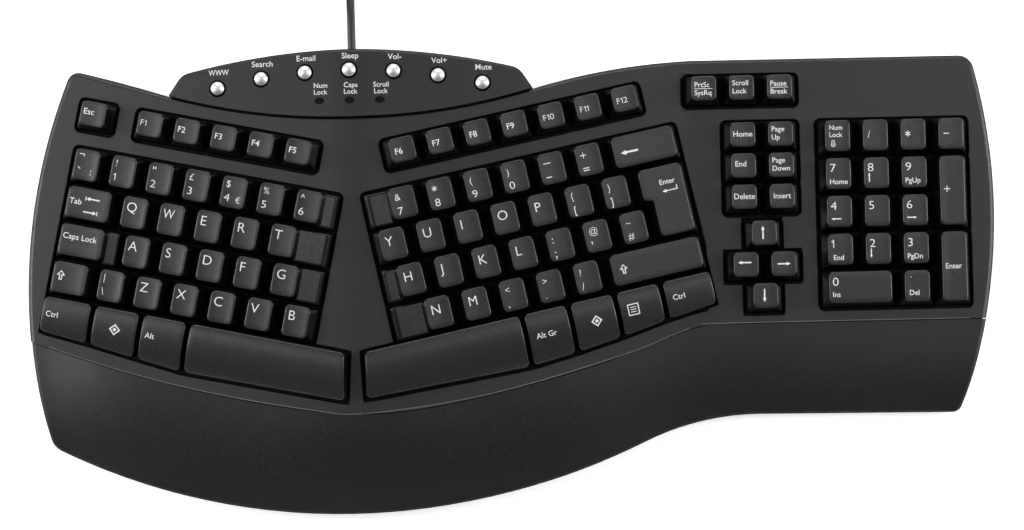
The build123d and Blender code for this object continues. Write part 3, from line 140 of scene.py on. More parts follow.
def blank_material(name: str) -> bpy.types.Material:
    """Make a material with an empty node tree."""
    material = bpy.data.materials.new(name)
    material.use_nodes = True
    material.node_tree.nodes.clear()
    return material


@dataclass(frozen=True)
class Finish:
    """A surface: what it is made of and how it was made.

    The base shade wanders a little over the piece, as moulded colour does, and a fine grain gives both the
    roughness and the bump. Where a finish has a wall colour, its steep faces get a painted shade instead.
    """

    name: str
    colour: str
    roughness: float
    ior: float = 1.54           # ABS
    metallic: float = 0.0
    grain: float = 0.5          # width of the mould texture's grains, in millimetres
    depth: float = 0.02         # height of the grains, in millimetres
    spread: float = 0.08        # how far the roughness swings with the grain
    mottle: float = 0.06        # share by which the shade wanders
    drift: float = 25.0         # length over which it wanders, in millimetres
    detail: float = 2.0
    wall: str = ""              # shade painted on steep and upright faces, such as the openings' walls and the rims; they also lose their shine
    specular: float = 0.5       # share of the shine; set low as painted shade where little light would come back out of a gap

    def material(self) -> bpy.types.Material:
        """Build the finish as a material, once.

        Returns:
            The material of this finish's name.
        """
        if self.name in bpy.data.materials:
            return bpy.data.materials[self.name]
        made = blank_material(self.name)
        place = add_node(made, "ShaderNodeTexCoord")
        wander = add_node(made, "ShaderNodeTexNoise", {
            "Vector": (place, "Object"), "Scale": 1 / (self.drift * MM), "Detail": 1.0})
        base = linear(self.colour)
        shade = add_node(made, "ShaderNodeMix", {
            "Factor": (wander, "Fac"),
            "A": tuple(c * (1 - self.mottle) for c in base) + (1.0,),
            "B": tuple(min(1.0, c * (1 + self.mottle)) for c in base) + (1.0,)}, data_type="RGBA")
        # Painted shade: steep faces blend towards the wall colour, the less their normal points up
        if self.wall:
            facing = add_node(made, "ShaderNodeNewGeometry")
            upright = add_node(made, "ShaderNodeSeparateXYZ", {"Vector": (facing, "Normal")})
            lying = add_node(made, "ShaderNodeMapRange", {
                "Value": (upright, "Z"), **LEAN})
            shade = add_node(made, "ShaderNodeMix", {
                "Factor": (lying, "Result"), "A": (*linear(self.wall), 1.0), "B": (shade, "Result")},
                data_type="RGBA")
        grains = add_node(made, "ShaderNodeTexNoise", {
            "Vector": (place, "Object"), "Scale": 1 / (self.grain * MM), "Detail": self.detail})
        rough = add_node(made, "ShaderNodeMapRange", {
            "Value": (grains, "Fac"), **NOISE,
            "To Min": self.roughness - self.spread, "To Max": self.roughness + self.spread})
        bump = add_node(made, "ShaderNodeBump", {
            "Height": (grains, "Fac"), "Strength": 1.0, "Distance": self.depth * MM})
        shader = add_node(made, "ShaderNodeBsdfPrincipled", {
            "Base Color": (shade, "Result"), "Roughness": (rough, "Result"), "Normal": (bump, "Normal"),
            "Metallic": self.metallic, "Specular IOR Level": self.specular})
        if not self.metallic:
            shader.inputs["IOR"].default_value = self.ior
        surface = (shader, "BSDF")
        # Painted shade: steep faces also turn to a plain diffuse of the wall colour, without shine
        if self.wall:
            matt = add_node(made, "ShaderNodeBsdfDiffuse", {"Color": linear(self.wall)})
            surface = (add_node(made, "ShaderNodeMixShader", {
                0: (lying, "Result"), 1: (matt, "BSDF"), 2: surface}), "Shader")
        add_node(made, "ShaderNodeOutputMaterial", {"Surface": surface})
        return made


def spark_eroded(part: str, colour: str, roughness: float) -> Finish:
    """Injection-moulded ABS, finely spark-eroded to shine softly and evenly; its steep faces get a black
    painted shade.
    """
    return Finish(f"moulded ABS, spark-eroded, {part}", colour, roughness, grain=0.9, depth=0.012,
                  wall="030304")


COVER = spark_eroded("graphite", "1e1e20", 0.42)
PALM = spark_eroded("dark palm rest", "121214", 0.46)
PANEL = spark_eroded("media panel", "1b1b1d", 0.43)
TRAY = Finish("moulded ABS, spark-eroded, black tray", "111112", 0.55, grain=0.9, depth=0.02)
# Painted highlight: a light strip that stands for the cover's rounded edge catching light at the palm rest's
# seam
EDGE_PAINTED_HIGHLIGHT = Finish("moulded ABS, painted edge highlight", "5c5c5f", 0.3, grain=0.9, depth=0.004)
# Keycaps: tops blasted to a satin grain that catches light as specks, sides left as the mould's polish and
# painted much darker than the tops as their shade
CAP_TOP_FINISH = Finish("moulded ABS, blasted keycap top", "252528", 0.34, grain=0.55, depth=0.03,
                        spread=0.14, mottle=0.05)
CAP_SIDE_PAINTED_SHADE = Finish("moulded ABS, polished keycap side, painted shade", "080809", 0.22, grain=2.0, depth=0.004, spread=0.04)
# Frames deep in the gaps: near black, with their shine turned down as painted shade, as little light comes
# back out of them
FRAME_FINISH = Finish("moulded ABS, black key frame", "030304", 0.6, grain=0.8, depth=0.015, specular=0.12)
# Painted shadow: a black strip that stands for the shade in the joint in front of the media panel
SHADOW = Finish("moulded ABS, painted joint shadow", "010101", 0.8, grain=0.8, depth=0.01, specular=0.05)
INK = Finish("pad-printed white ink", "ececec", 0.55, ior=1.5, grain=0.4, depth=0.004, spread=0.03,
             mottle=0.02)
# Satin metallised buttons scatter the lamps into one soft highlight
BUTTON = Finish("metallised ABS, satin silver", "e4e5e7", 0.5, metallic=1.0, grain=0.4, depth=0.006,
                mottle=0.02)
# Light pipes stay dark while the lights are off
LENS = Finish("smoked acrylic light pipe", "020203", 0.35, ior=1.49, grain=3.0, depth=0.001, spread=0.03,
              specular=0.2)
# Pieces that hardly show: each has its material's own shade and shine
RUBBER = Finish("moulded natural rubber, black", "19191a", 0.75, ior=1.52, grain=0.5, depth=0.03, spread=0.06)
DOME = Finish("moulded silicone rubber, milky grey", "8a8c8e", 0.5, ior=1.41, grain=0.8, depth=0.01)
FILM = Finish("polyester switch membrane", "8f9a94", 0.3, ior=1.64, grain=3.0, depth=0.002)
PLATE = Finish("cold-rolled zinc-plated steel", "9c9ea0", 0.34, metallic=1.0, grain=0.6, depth=0.004)
LAMINATE = Finish("glass-epoxy board, green solder mask", "1d4a30", 0.35, ior=1.55, grain=0.5, depth=0.008)
JACKET = Finish("extruded PVC lead jacket", "242425", 0.42, ior=1.53, grain=1.2, depth=0.01)
TIE_FINISH = Finish("nylon 6.6 cable tie", "1d1d1e", 0.4, ior=1.53, grain=0.8, depth=0.008)
PLUG_FINISH = Finish("overmoulded PVC plug grip", "202021", 0.5, ior=1.53, grain=0.5, depth=0.02)
SCREW = Finish("black-oxide steel screw", "3a3b3d", 0.4, metallic=1.0, grain=0.5, depth=0.004)


def evenly(start: float, end: float, step: float) -> list[float]:
    """Places between two ends at equal distances of about a step."""
    count = max(1, round((end - start) / step))
    return [start + (end - start) * (i + 0.5) / count for i in range(count)]


def lies_inside(x: float, y: float, edge: Sequence[Vector], margin: float) -> bool:
    """Tell whether a point lies inside an outline and at least a margin away from it."""
    inside = False
    for a, b in zip(edge, edge[1:] + edge[:1]):
        dx, dy = b.x - a.x, b.y - a.y
        along = max(0.0, min(1.0, ((x - a.x) * dx + (y - a.y) * dy) / (dx * dx + dy * dy)))
        if hypot(a.x + along * dx - x, a.y + along * dy - y) < margin:
            return False
        if (a.y > y) != (b.y > y) and x < a.x + dx * (y - a.y) / dy:
            inside = not inside
    return inside


class Draft:
    """Points and faces of one piece, gathered in millimetres and then made into a Blender mesh."""

    def __init__(self) -> None:
        """Start with nothing."""
        self.points: list[Vector] = []
        self.faces: list[tuple[int, ...]] = []
        self.slots: list[int] = []

    def ring(self, points: Iterable[Sequence[float]]) -> range:
        """Add a ring of points and give their numbers."""
        start = len(self.points)
        self.points += [Vector(p) for p in points]
        return range(start, len(self.points))

    def bridge(self, lower: range, upper: range, slot: int = 0) -> None:
        """Join two rings of equally many points with four-sided faces that look outwards.

        Args:
            lower: First ring, counted anticlockwise seen from its far side.
            upper: Second ring.
            slot: Material number of the faces.
        """
        for i in range(len(lower)):
            j = (i + 1) % len(lower)
            self.faces.append((lower[i], lower[j], upper[j], upper[i]))
            self.slots.append(slot)

    def close(self, ring: range, slot: int = 0, flip: bool = False) -> None:
        """Close a ring with one face, which looks back along the piece where flip is true."""
        self.faces.append(tuple(reversed(ring)) if flip else tuple(ring))
        self.slots.append(slot)

    def cover(self, ring: range, crown: Crown, slot: int = 0) -> None:
        """Close a ring with a fine surface whose height follows a crown.

        Args:
            ring: The ring's points, anticlockwise seen from above.
            crown: Height of the surface at a point.
            slot: Material number of the faces.
        """
        edge = [self.points[i].to_2d() for i in ring]
        xs, ys = [p.x for p in edge], [p.y for p in edge]
        inner = [Vector((x, y)) for x in evenly(min(xs), max(xs), CROWN_STEP)
                 for y in evenly(min(ys), max(ys), CROWN_STEP)
                 if lies_inside(x, y, edge, CROWN_STEP / 2)]
        numbers = list(ring) + list(self.ring((p.x, p.y, crown(p.x, p.y)) for p in inner))
        outline = [list(range(len(edge)))]
        _, _, faces, origins, _, _ = delaunay_2d_cdt(edge + inner, [], outline, 1, TOUCH * MM)
        self.faces += [tuple(numbers[origins[i][0]] for i in face) for face in faces]
        self.slots += [slot] * len(faces)

    def tower(self, rings: Sequence[Sequence[Sequence[float]]], slots: Sequence[int] = (0,),
              crown: Crown | None = None) -> None:
        """Stack rings into a closed lump.

        Args:
            rings: Rings of equally many points, from the first end to the last.
            slots: Material number of each storey; the last one serves for the rest.
            crown: Height of the last end, where it isn't flat.
        """
        made = [self.ring(points) for points in rings]
        for i, (lower, upper) in enumerate(zip(made, made[1:])):
            self.bridge(lower, upper, slots[min(i, len(slots) - 1)])
        self.close(made[0], slots[0], flip=True)
        if crown:
            self.cover(made[-1], crown, slots[-1])
        else:
            self.close(made[-1], slots[-1])

    def place(self, matrix: Matrix, start: int = 0) -> None:
        """Move the points from number start on, in millimetres."""
        for i in range(start, len(self.points)):
            self.points[i] = matrix @ self.points[i]

    def piece(self, name: str, finishes: Sequence[Finish], crease: float = 35.0) -> bpy.types.Object:
        """Make the piece.

        Args:
            name: Its name.
            finishes: The finish of each material number.
            crease: Edges that turn by more degrees than this stay sharp.

        Returns:
            The new object, at the origin, with its place in its mesh.
        """
        mesh = bpy.data.meshes.new(name)
        mesh.from_pydata([p * MM for p in self.points], [], self.faces)
        mesh.polygons.foreach_set("material_index", self.slots)
        mesh.polygons.foreach_set("use_smooth", [True] * len(self.faces))
        mesh.update()
        mesh.set_sharp_from_angle(angle=radians(crease))
        for finish in finishes:
            mesh.materials.append(finish.material())
        made = bpy.data.objects.new(name, mesh)
        bpy.context.scene.collection.objects.link(made)
        return made


def oblong(left: float, right: float, low: float, high: float) -> Outline:
    """Corners of an upright rectangle, anticlockwise."""
    return [(left, low), (right, low), (right, high), (left, high)]


def circle(x: float, y: float, radius: float, count: int = 20, part: float = 1.0) -> Outline:
    """Points on a circle, or on the upper part of one."""
    return [(x + radius * cos(2 * pi * part * i / count), y + radius * sin(2 * pi * part * i / count))
            for i in range(count if part == 1.0 else count + 1)]


def meet(first: Line, second: Line) -> Point2:
    """Where two lines meet, each given by a point and a direction."""
    (x0, y0, dx0, dy0), (x1, y1, dx1, dy1) = first, second
    along = ((x1 - x0) * dy1 - (y1 - y0) * dx1) / (dx0 * dy1 - dy0 * dx1)
    return x0 + along * dx0, y0 + along * dy0


def taken_in(corners: Sequence[Point2], insets: Sequence[float]) -> Outline:
    """Move each side of an outline inwards.

    Args:
        corners: The outline, anticlockwise.
        insets: How far each side moves, starting with the one from the first corner to the second.

    Returns:
        The new corners.
    """
    lines = []
    for i, (x0, y0) in enumerate(corners):
        x1, y1 = corners[(i + 1) % len(corners)]
        length = hypot(x1 - x0, y1 - y0)
        dx, dy = (x1 - x0) / length, (y1 - y0) / length
        lines.append((x0 - dy * insets[i], y0 + dx * insets[i], dx, dy))
    return [meet(lines[i - 1], line) for i, line in enumerate(lines)]


def rounded(corners: Sequence[Point2], radius: float, steps: int = 4, parts: Sequence[int] = ()) -> Outline:
    """Round an outline's corners.

    Args:
        corners: The outline, with straight sides.
        radius: Distance from a corner at which its curve starts.
        steps: Straight parts of each curve.
        parts: Straight parts of each side, starting with the one from the first corner to the second.

    Returns:
        The rounded outline's points.
    """
    curves = []
    for i, corner in enumerate(corners):
        ends = []
        for other in (corners[i - 1], corners[(i + 1) % len(corners)]):
            length = hypot(other[0] - corner[0], other[1] - corner[1])
            reach = min(radius, NEARLY_HALF * length) / length
            ends.append([c + (o - c) * reach for c, o in zip(corner, other)])
        curves.append([])
        for k in range(steps + 1):
            t = k / steps
            curves[-1].append(tuple((1 - t) ** 2 * a + 2 * t * (1 - t) * c + t * t * b
                                    for a, c, b in zip(ends[0], corner, ends[1])))
    points = []
    for curve, following, count in zip(curves, curves[1:] + curves[:1], parts or [1] * len(corners)):
        points += curve
        for k in range(1, count):
            points.append(tuple(a + (b - a) * k / count for a, b in zip(curve[-1], following[0])))
    return points


def deck_z(x: float) -> float:
    """Height of the deck above the desk at x, both in millimetres."""
    across = abs(x - RIDGE_X)
    if across < RIDGE_RADIUS * sin(TENT):
        return RIDGE_Z - RIDGE_RADIUS / cos(TENT) + sqrt(RIDGE_RADIUS ** 2 - across ** 2)
    if x < BREAK_X:
        return RIDGE_Z - tan(TENT) * across
    return RIDGE_Z - tan(TENT) * (BREAK_X - RIDGE_X) - tan(SIDE_FALL) * (x - BREAK_X)


def tilted(origin: Point3, turn: float, fall: float, side: int) -> Matrix:
    """Place of a key block.

    Args:
        origin: Point of the deck that the block turns about.
        turn: Its turn about the upright axis, in radians.
        fall: Its slope, in radians.
        side: Direction in which it falls, 1 or -1 along X.

    Returns:
        The matrix from the block's own millimetres to the frame's.
    """
    normal = Vector((side * sin(fall), 0, cos(fall)))
    across = Vector((cos(turn) * cos(fall), sin(turn), -side * cos(turn) * sin(fall))).normalized()
    return Matrix.Translation(origin) @ Matrix((across, normal.cross(across), normal)).transposed().to_4x4()


class Block(Enum):
    """The three key blocks, each with the place of its own plane."""

    LEFT = "left"
    RIGHT = "right"
    SIDE = "side"

    @property
    def place(self) -> Matrix:
        """Matrix from the block's millimetres to the frame's."""
        if self is Block.SIDE:
            return tilted((BREAK_X, 0, deck_z(BREAK_X)), 0, SIDE_FALL, 1)
        side = -1 if self is Block.LEFT else 1
        return tilted((RIDGE_X, 0, RIDGE_Z), side * SPLIT, TENT, side)


def lumps(node: bpy.types.Object, place: Matrix) -> list[list[Vector]]:
    """Find the separate solids of a CAD node.

    Args:
        node: The node's object.
        place: Matrix of the block that it lies in.

    Returns:
        Each solid's points in the block's own millimetres, ordered from the back row and from the left.
    """
    spots: dict[tuple[int, ...], int] = {}
    number = [spots.setdefault(tuple(round(c / MM * PER_MM) for c in v.co), len(spots))
              for v in node.data.vertices]
    leader = list(range(len(spots)))

    def lead(i: int) -> int:
        """Leader of the group that a point is in."""
        while leader[i] != i:
            leader[i] = leader[leader[i]]
            i = leader[i]
        return i

    for face in node.data.polygons:
        first = lead(number[face.vertices[0]])
        for corner in face.vertices[1:]:
            leader[lead(number[corner])] = first
    back = place.inverted()
    groups: dict[int, list[Vector]] = {}
    for vertex, i in zip(node.data.vertices, number):
        groups.setdefault(lead(i), []).append(back @ (vertex.co / MM))
    middle = {i: sum(points, Vector()) / len(points) for i, points in groups.items()}
    return [groups[i] for i in sorted(groups, key=lambda i: (-round(middle[i].y / ROW), middle[i].x))]


def span(points: Iterable[Vector], low: float, high: float) -> tuple[float, float, float, float]:
    """Left, right, front and back reach of the points between two heights."""
    chosen = [p for p in points if low < p.z < high]
    xs = [p.x for p in chosen]
    ys = [p.y for p in chosen]
    return min(xs), max(xs), min(ys), max(ys)


SKIRT = 0.3                 # keycaps, in their block's plane with the deck at zero
CAP_TOP = 8.5
SCOOP = 0.55
SIDE_INSET = 3.0
BACK_INSET = 0.4
FRONT_INSET = 2.3
CAP_GAP = 0.85
STEP_TOP = 4.6              # low ledge beside a raised cap
STEP_INSET = 1.0
STEP_LEAN = 0.9             # share of that inset at the ledge's bevel
PILLOW_TOP = 8.2            # thumb keys
PILLOW_INSET = 0.9
PILLOW_RADIUS = 34.0
PILLOW_CREST = 7.0          # crest of the crown, from the back
THUMB_CUT = 3.2             # sides of a thumb key shorter than this are cut corners
CAP_WALL = 1.4
TOUCH = 0.08                # heights that differ by less are the same
APART = 1.0                 # places that differ by more are different
SLIDER_BEVEL = 0.5
SKIRT_CORNER = 1.5          # where the rounding of a corner starts, at the skirt and at the top
TOP_CORNER = 2.6
EDGE = 0.55                 # rounding between side and top
EDGE_STEPS = (0.3, 0.6, 1.0)
EDGE_PINCH = 0.7            # how much faster the corners' rounding shrinks over that edge
CROWN_STEP = 1.5            # between the points of a cap's top
HOLLOW = 0.8                # height of the hollow below a cap, of the room there
HOLLOW_LEAN = 0.4           # share of a side's inset that its inner wall leans


def side_parts(corners: Sequence[Point2]) -> list[int]:
    """Straight parts of each side of an outline, so that they can follow a crown."""
    return [max(1, round(hypot(b[0] - a[0], b[1] - a[1]) / CROWN_STEP))
            for a, b in zip(corners, list(corners[1:]) + [corners[0]])]


def hull(points: Iterable[Point2]) -> Outline:
    """Outline that wraps the points, anticlockwise, without points along its straight sides."""
    chosen = sorted(set(points))
    loops = []
    for run in (chosen, chosen[::-1]):
        chain: list[Point2] = []
        for p in run:
            while len(chain) > 1 and (
                (chain[-1][0] - chain[-2][0]) * (p[1] - chain[-2][1])
                - (chain[-1][1] - chain[-2][1]) * (p[0] - chain[-2][0]) < TOUCH
            ):
                chain.pop()
            chain.append(p)
        loops += chain[:-1]
    return loops


def uncut(outline: Sequence[Point2]) -> Outline:
    """Corners of an outline whose corners are cut off, where its long sides would meet."""
    corners = []
    for i, a in enumerate(outline):
        b = outline[(i + 1) % len(outline)]
        if hypot(b[0] - a[0], b[1] - a[1]) < THUMB_CUT:
            before, after = outline[i - 1], outline[(i + 2) % len(outline)]
            corners.append(meet((*before, a[0] - before[0], a[1] - before[1]),
                                (*b, after[0] - b[0], after[1] - b[1])))
    return corners


def scoop_radius(half: float) -> float:
    """Radius of a finger hollow of half a width."""
    return (half ** 2 + SCOOP ** 2) / (2 * SCOOP)


class Cap:
    """One keycap over the outline of its CAD solid, with a rounded top edge and a hollow underside."""

    def __init__(self, solid: list[Vector]) -> None:
        """Measure a solid, given by its points in its block's millimetres."""
        self.solid = solid
        self.left, self.right, self.front, self.back = span(solid, SKIRT - TOUCH, SKIRT + TOUCH)
        self.skirt = [p for p in solid if abs(p.z - SKIRT) < TOUCH]
        self.corners: Outline = []
        self.insets: list[float] = []
        self.ledges: list[Point2] = []
        self.middle: Point2 = (0.0, 0.0)
        self.measure()

    def measure(self) -> None:
        """Find the corners of the skirt, what each side leans and the middle of the top."""
        raise NotImplementedError

    def crown(self, x: float, y: float) -> float:
        """Height of the cap's top at a point."""
        raise NotImplementedError

    def sliders(self) -> list[tuple[float, float, float, float]]:
        """Left, right, front and back of each post below the cap."""
        low = [p for p in self.solid if p.z < -TOUCH]
        xs = sorted({round(p.x, 1) for p in low})
        groups = [[xs[0]]]
        for x in xs[1:]:
            if x - groups[-1][-1] > 2 * STEP_TOP:
                groups.append([])
            groups[-1].append(x)
        made = []
        for group in groups:
            mine = [p for p in low if group[0] - APART < p.x < group[-1] + APART]
            made.append((min(p.x for p in mine), max(p.x for p in mine),
                         min(p.y for p in mine), max(p.y for p in mine)))
        return made

    def draw(self, draft: Draft) -> None:
        """Add the cap to a draft in its block's millimetres."""
        parts = side_parts(self.corners)
        bevel = EDGE / (CAP_TOP - SKIRT)
        levels = [(0.0, 0.0, 0.0), (1 - bevel, 0.0, 1 - bevel)]
        for t in EDGE_STEPS:
            share = (1 - t) ** 2 * (1 - bevel) + 2 * t * (1 - t) + t * t
            levels.append((share, t * t * EDGE, share))
        hollow = STEP_TOP if self.crown(*self.middle) > STEP_TOP + CAP_WALL else STEP_TOP / 2
        rings = []
        for z in (hollow * HOLLOW, SKIRT):
            walls = [CAP_WALL + (i if z > SKIRT else 0) * HOLLOW_LEAN for i in self.insets]
            inner = rounded(taken_in(self.corners, walls), SKIRT_CORNER, parts=parts)
            rings.append([(x, y, min(z, max(SKIRT, self.crown(x, y) - CAP_WALL))) for x, y in inner])
        for share, extra, height in levels:
            outline = rounded(
                taken_in(self.corners, [i * share + extra for i in self.insets]),
                SKIRT_CORNER + (TOP_CORNER - SKIRT_CORNER) * share - EDGE_PINCH * extra, parts=parts)
            rings.append([(x, y, SKIRT + (self.crown(x, y) - SKIRT) * height) for x, y in outline])
        draft.tower(rings, [1] * (len(levels) - 1) + [0], self.crown)
        for left, right in self.ledges:
            self.draw_ledge(draft, left, right)
        for left, right, front, back in self.sliders():
            low = min(p.z for p in self.solid)
            corners = oblong(left, right, front, back)
            rings = []
            for z, inset in ((low, SLIDER_BEVEL), (low + SLIDER_BEVEL, 0.0), (STEP_TOP - CAP_WALL, 0.0)):
                rings.append([(x, y, z) for x, y in rounded(taken_in(corners, [inset] * 4), SLIDER_BEVEL, 2)])
            draft.tower(rings, [1])

    def draw_ledge(self, draft: Draft, left: float, right: float) -> None:
        """Add the low part beside a raised cap, from its left to its right edge."""
        corners = oblong(left, right, self.front, self.back)
        insets = [STEP_INSET, STEP_INSET if right == self.right else 0.0, STEP_INSET,
                  STEP_INSET if left == self.left else 0.0]
        bevel = EDGE / 2
        begun = bevel * EDGE_STEPS[0]
        rings = []
        for share, extra, z in ((0, 0, SKIRT), (STEP_LEAN, 0, STEP_TOP - bevel), (1, begun, STEP_TOP - begun),
                                (1, bevel, STEP_TOP)):
            moved = taken_in(corners, [i * share + (extra if i else 0) for i in insets])
            rings.append([(x, y, z) for x, y in rounded(moved, SKIRT_CORNER / 2, parts=side_parts(corners))])
        draft.tower(rings, [1], lambda x, y: STEP_TOP)


class ScoopedCap(Cap):
    """A cap with upright back, leaning sides and a finger hollow; some have a low ledge at one side."""

    def measure(self) -> None:
        """Find the raised part and any ledges."""
        left, right, front, back = span(self.solid, CAP_TOP - SCOOP - TOUCH, CAP_TOP + TOUCH)
        self.middle = ((left + right) / 2, (front + back) / 2)
        self.radius = scoop_radius((right - left) / 2)
        left -= SIDE_INSET
        right += SIDE_INSET
        self.corners = oblong(left, right, self.front, self.back)
        self.insets = [FRONT_INSET, SIDE_INSET, BACK_INSET, SIDE_INSET]
        if left > self.left + APART:
            self.ledges.append((self.left, left + SIDE_INSET))
        if right < self.right - APART:
            self.ledges.append((right - SIDE_INSET, self.right))

    def crown(self, x: float, y: float) -> float:
        """Height of the hollow top at a point."""
        across = min(abs(x - self.middle[0]), self.radius)
        return min(CAP_TOP, CAP_TOP - SCOOP + self.radius - sqrt(self.radius ** 2 - across ** 2))


class EnterCap(ScoopedCap):
    """The tall Enter cap, wider at its back half."""

    def measure(self) -> None:
        """Find the notch at the front left."""
        super().measure()
        step = min(p.x for p in self.skirt if p.y < self.front + APART)
        notch = min(p.y for p in self.skirt if p.x < self.left + APART)
        self.ledges = []
        self.corners = [(step, self.front), (self.right, self.front), (self.right, self.back),
                        (self.left, self.back), (self.left, notch), (step, notch)]
        self.insets = [FRONT_INSET, SIDE_INSET, BACK_INSET, SIDE_INSET, FRONT_INSET, SIDE_INSET]
        self.radius = scoop_radius((self.right - step + CAP_GAP) / 2 - SIDE_INSET + (step - self.left) / 2)
        self.middle = ((step + self.right) / 2, (self.front + self.back) / 2)


class ThumbCap(Cap):
    """A cap of the thumb rows: crowned from back to front, its front edge following the palm rest."""

    def measure(self) -> None:
        """Find the true corners, which the solid has cut off."""
        self.corners = uncut(hull((p.x, p.y) for p in self.skirt))
        self.crest = self.back + CAP_GAP / 2 - PILLOW_CREST
        self.middle = tuple(sum(c) / len(self.corners) for c in zip(*self.corners))
        self.insets = []
        for a, b in zip(self.corners, self.corners[1:] + self.corners[:1]):
            upright = abs(b[1] - a[1]) > abs(b[0] - a[0])
            self.insets.append(PILLOW_INSET if upright else 0.0)

    def crown(self, x: float, y: float) -> float:
        """Height of the crowned top at a point."""
        return PILLOW_TOP - PILLOW_RADIUS + sqrt(PILLOW_RADIUS ** 2 - (y - self.crest) ** 2)


class Mark(NamedTuple):
    """One word or sign printed on a surface: left end of its baseline and height of its capitals."""

    sign: str
    x: float
    y: float
    height: float


Legend = tuple[Mark, ...]
PAIR_SPOTS = ((-4.3, 1.9, 3.3), (-4.3, -5.2, 3.7), (1.6, -5.4, 2.9))    # upper, lower and third sign


def letters(signs: str) -> list[Legend]:
    """Legends of letter keys."""
    return [(Mark(c, -4.3, -0.1, 4.7),) for c in signs]


def pairs(*keys: str) -> list[Legend]:
    """Legends of keys with an upper and a lower sign, and some with a third one at the lower right."""
    return [tuple(Mark(c, *spot) for c, spot in zip(signs, PAIR_SPOTS)) for signs in keys]


def word(text: str, x: float = -4.6, y: float = -1.4, height: float = 2.9) -> Legend:
    """Legend of one word or sign."""
    return (Mark(text, x, y, height),)


def stacked(upper: str, lower: str) -> Legend:
    """Legend of two short words, one above the other."""
    return (Mark(upper, -4.4, 1.2, 2.5), Mark(lower, -4.4, -2.9, 2.5))


def ruled(upper: str, lower: str) -> Legend:
    """Legend of two words with a line between them."""
    return (Mark(upper, -4.4, 0.6, 2.5), Mark("rule", -4.4, -0.2, 9.2), Mark(lower, -4.4, -3.4, 2.5))


def digit(sign: str, second: str = "", x: float = -4.3, y: float = -5.3, height: float = 2.5) -> Legend:
    """Legend of a number key with its second meaning below."""
    return (Mark(sign, -4.2, 0.8, 4.1),) + (word(second, x, y, height) if second else ())


# Each block's key nodes, with the legend of each solid, from the back row and from the left
LEGENDS: dict[Block, dict[str, list[Legend]]] = {
    Block.LEFT: {
        "esc_key": [word("Esc", -4.9, -0.8, 2.9)],
        "function_keys_left": [word(f"F{i}") for i in range(1, 6)],
        "number_keys_left": [
            (Mark("¬", -4.2, 3.2, 3.0), Mark("`", -4.2, -5.2, 3.6), Mark("¦", 2.4, -5.0, 2.2)),
            *pairs("!1", '"2', "£3", "$4€", "%5", "^6")],
        "tab_key": [(Mark("Tab", -9.6, -1.2, 2.8), Mark("tab back", -1.8, 2.3, 7.4),
                     Mark("tab on", -1.8, -4.4, 7.4))],
        "top_row_left": letters("QWERT"),
        "caps_lock_key": [word("Caps Lock", -9.6, 0.2, 2.8)],
        "home_row_left": letters("ASDFG"),
        "shift_key_left": [word("shift", -6.6, -1.8, 4.8)],
        "bottom_row_left": pairs("|\\") + letters("ZXCVB"),
        "ctrl_key_left": [word("Ctrl", -9.9, -0.8, 2.7)],
        "super_key_left": [word("meta", -2.4, -2.9, 5.8)],
        "alt_key": [word("Alt", -8.3, 0.2, 2.7)],
        "space_bar_left": [],
    },
    Block.RIGHT: {
        "function_keys_right": [word(f"F{i}") for i in range(6, 13)],
        "number_keys_right": pairs("&7", "*8", "(9", ")0", "_-", "+="),
        "backspace_key": [word("arrow left", -12.6, 0.0, 9.0)],
        "top_row_right": letters("YUIOP") + pairs("{[", "}]"),
        "home_row_right": letters("HJKL") + pairs(":;", "@'", "~#"),
        "bottom_row_right": letters("NM") + pairs("<,", ">.", "?/"),
        "shift_key_right": [word("shift", -19.6, -1.8, 4.8)],
        "enter_key": [(Mark("Enter", -4.4, 9.6, 2.5), Mark("return", -3.8, 5.4, 8.0))],
        "space_bar_right": [],
        "alt_gr_key": [word("Alt Gr", -7.4, -0.2, 2.7)],
        "super_key_right": [word("meta", -2.9, -2.0, 5.8)],
        "menu_key": [word("menu", -7.4, -2.0, 5.8)],
        "ctrl_key_right": [word("Ctrl", -9.4, -0.8, 2.7)],
    },
    Block.SIDE: {
        "system_keys": [ruled("PrtSc", "SysRq"), stacked("Scroll", "Lock"), ruled("Pause", "Break")],
        "navigation_keys": [
            word("Home", -4.7, -1.1, 2.7), stacked("Page", "Up"), word("End", -4.0, -0.4, 2.7),
            stacked("Page", "Down"), word("Delete", -5.0, -1.1, 2.7), word("Insert", -4.2, -1.1, 2.6)],
        "arrow_keys": [
            word("arrow up", -1.2, -3.0, 6.6), word("arrow left", -3.6, 1.0, 6.6),
            word("arrow right", -2.9, 0.0, 6.6), word("arrow down", -1.2, -3.3, 6.6)],
        "numpad_top_row": [
            (Mark("Num", -3.9, 3.0, 2.3), Mark("Lock", -3.9, -0.6, 2.3), Mark("padlock", -3.3, -5.6, 3.6)),
            word("/", -3.6, -1.4, 3.6), word("*", -3.7, -1.6, 3.6), word("-", -3.4, -1.4, 3.6)],
        "numpad_digits": [
            digit("7", "Home"), digit("8", "arrow up", -3.9, -4.5, 4.6), digit("9", "PgUp"),
            digit("4", "arrow left", -3.8, -3.7, 5.0), digit("5"),
            digit("6", "arrow right", -3.8, -3.7, 5.0),
            digit("1", "End", -3.4), digit("2", "arrow down", -3.9, -4.5, 4.6), digit("3", "PgDn")],
        "numpad_plus": [word("+", -4.0, -0.8, 3.6)],
        "numpad_enter": [word("Enter", -4.4, -1.2, 2.6)],
        "numpad_zero": [(Mark("0", -13.8, 0.8, 4.1), Mark("Ins", -13.8, -4.8, 2.5))],
        "numpad_point": [(Mark(".", -3.2, 4.2, 3.6), Mark("Del", -3.8, -4.6, 2.5))],
    },
}
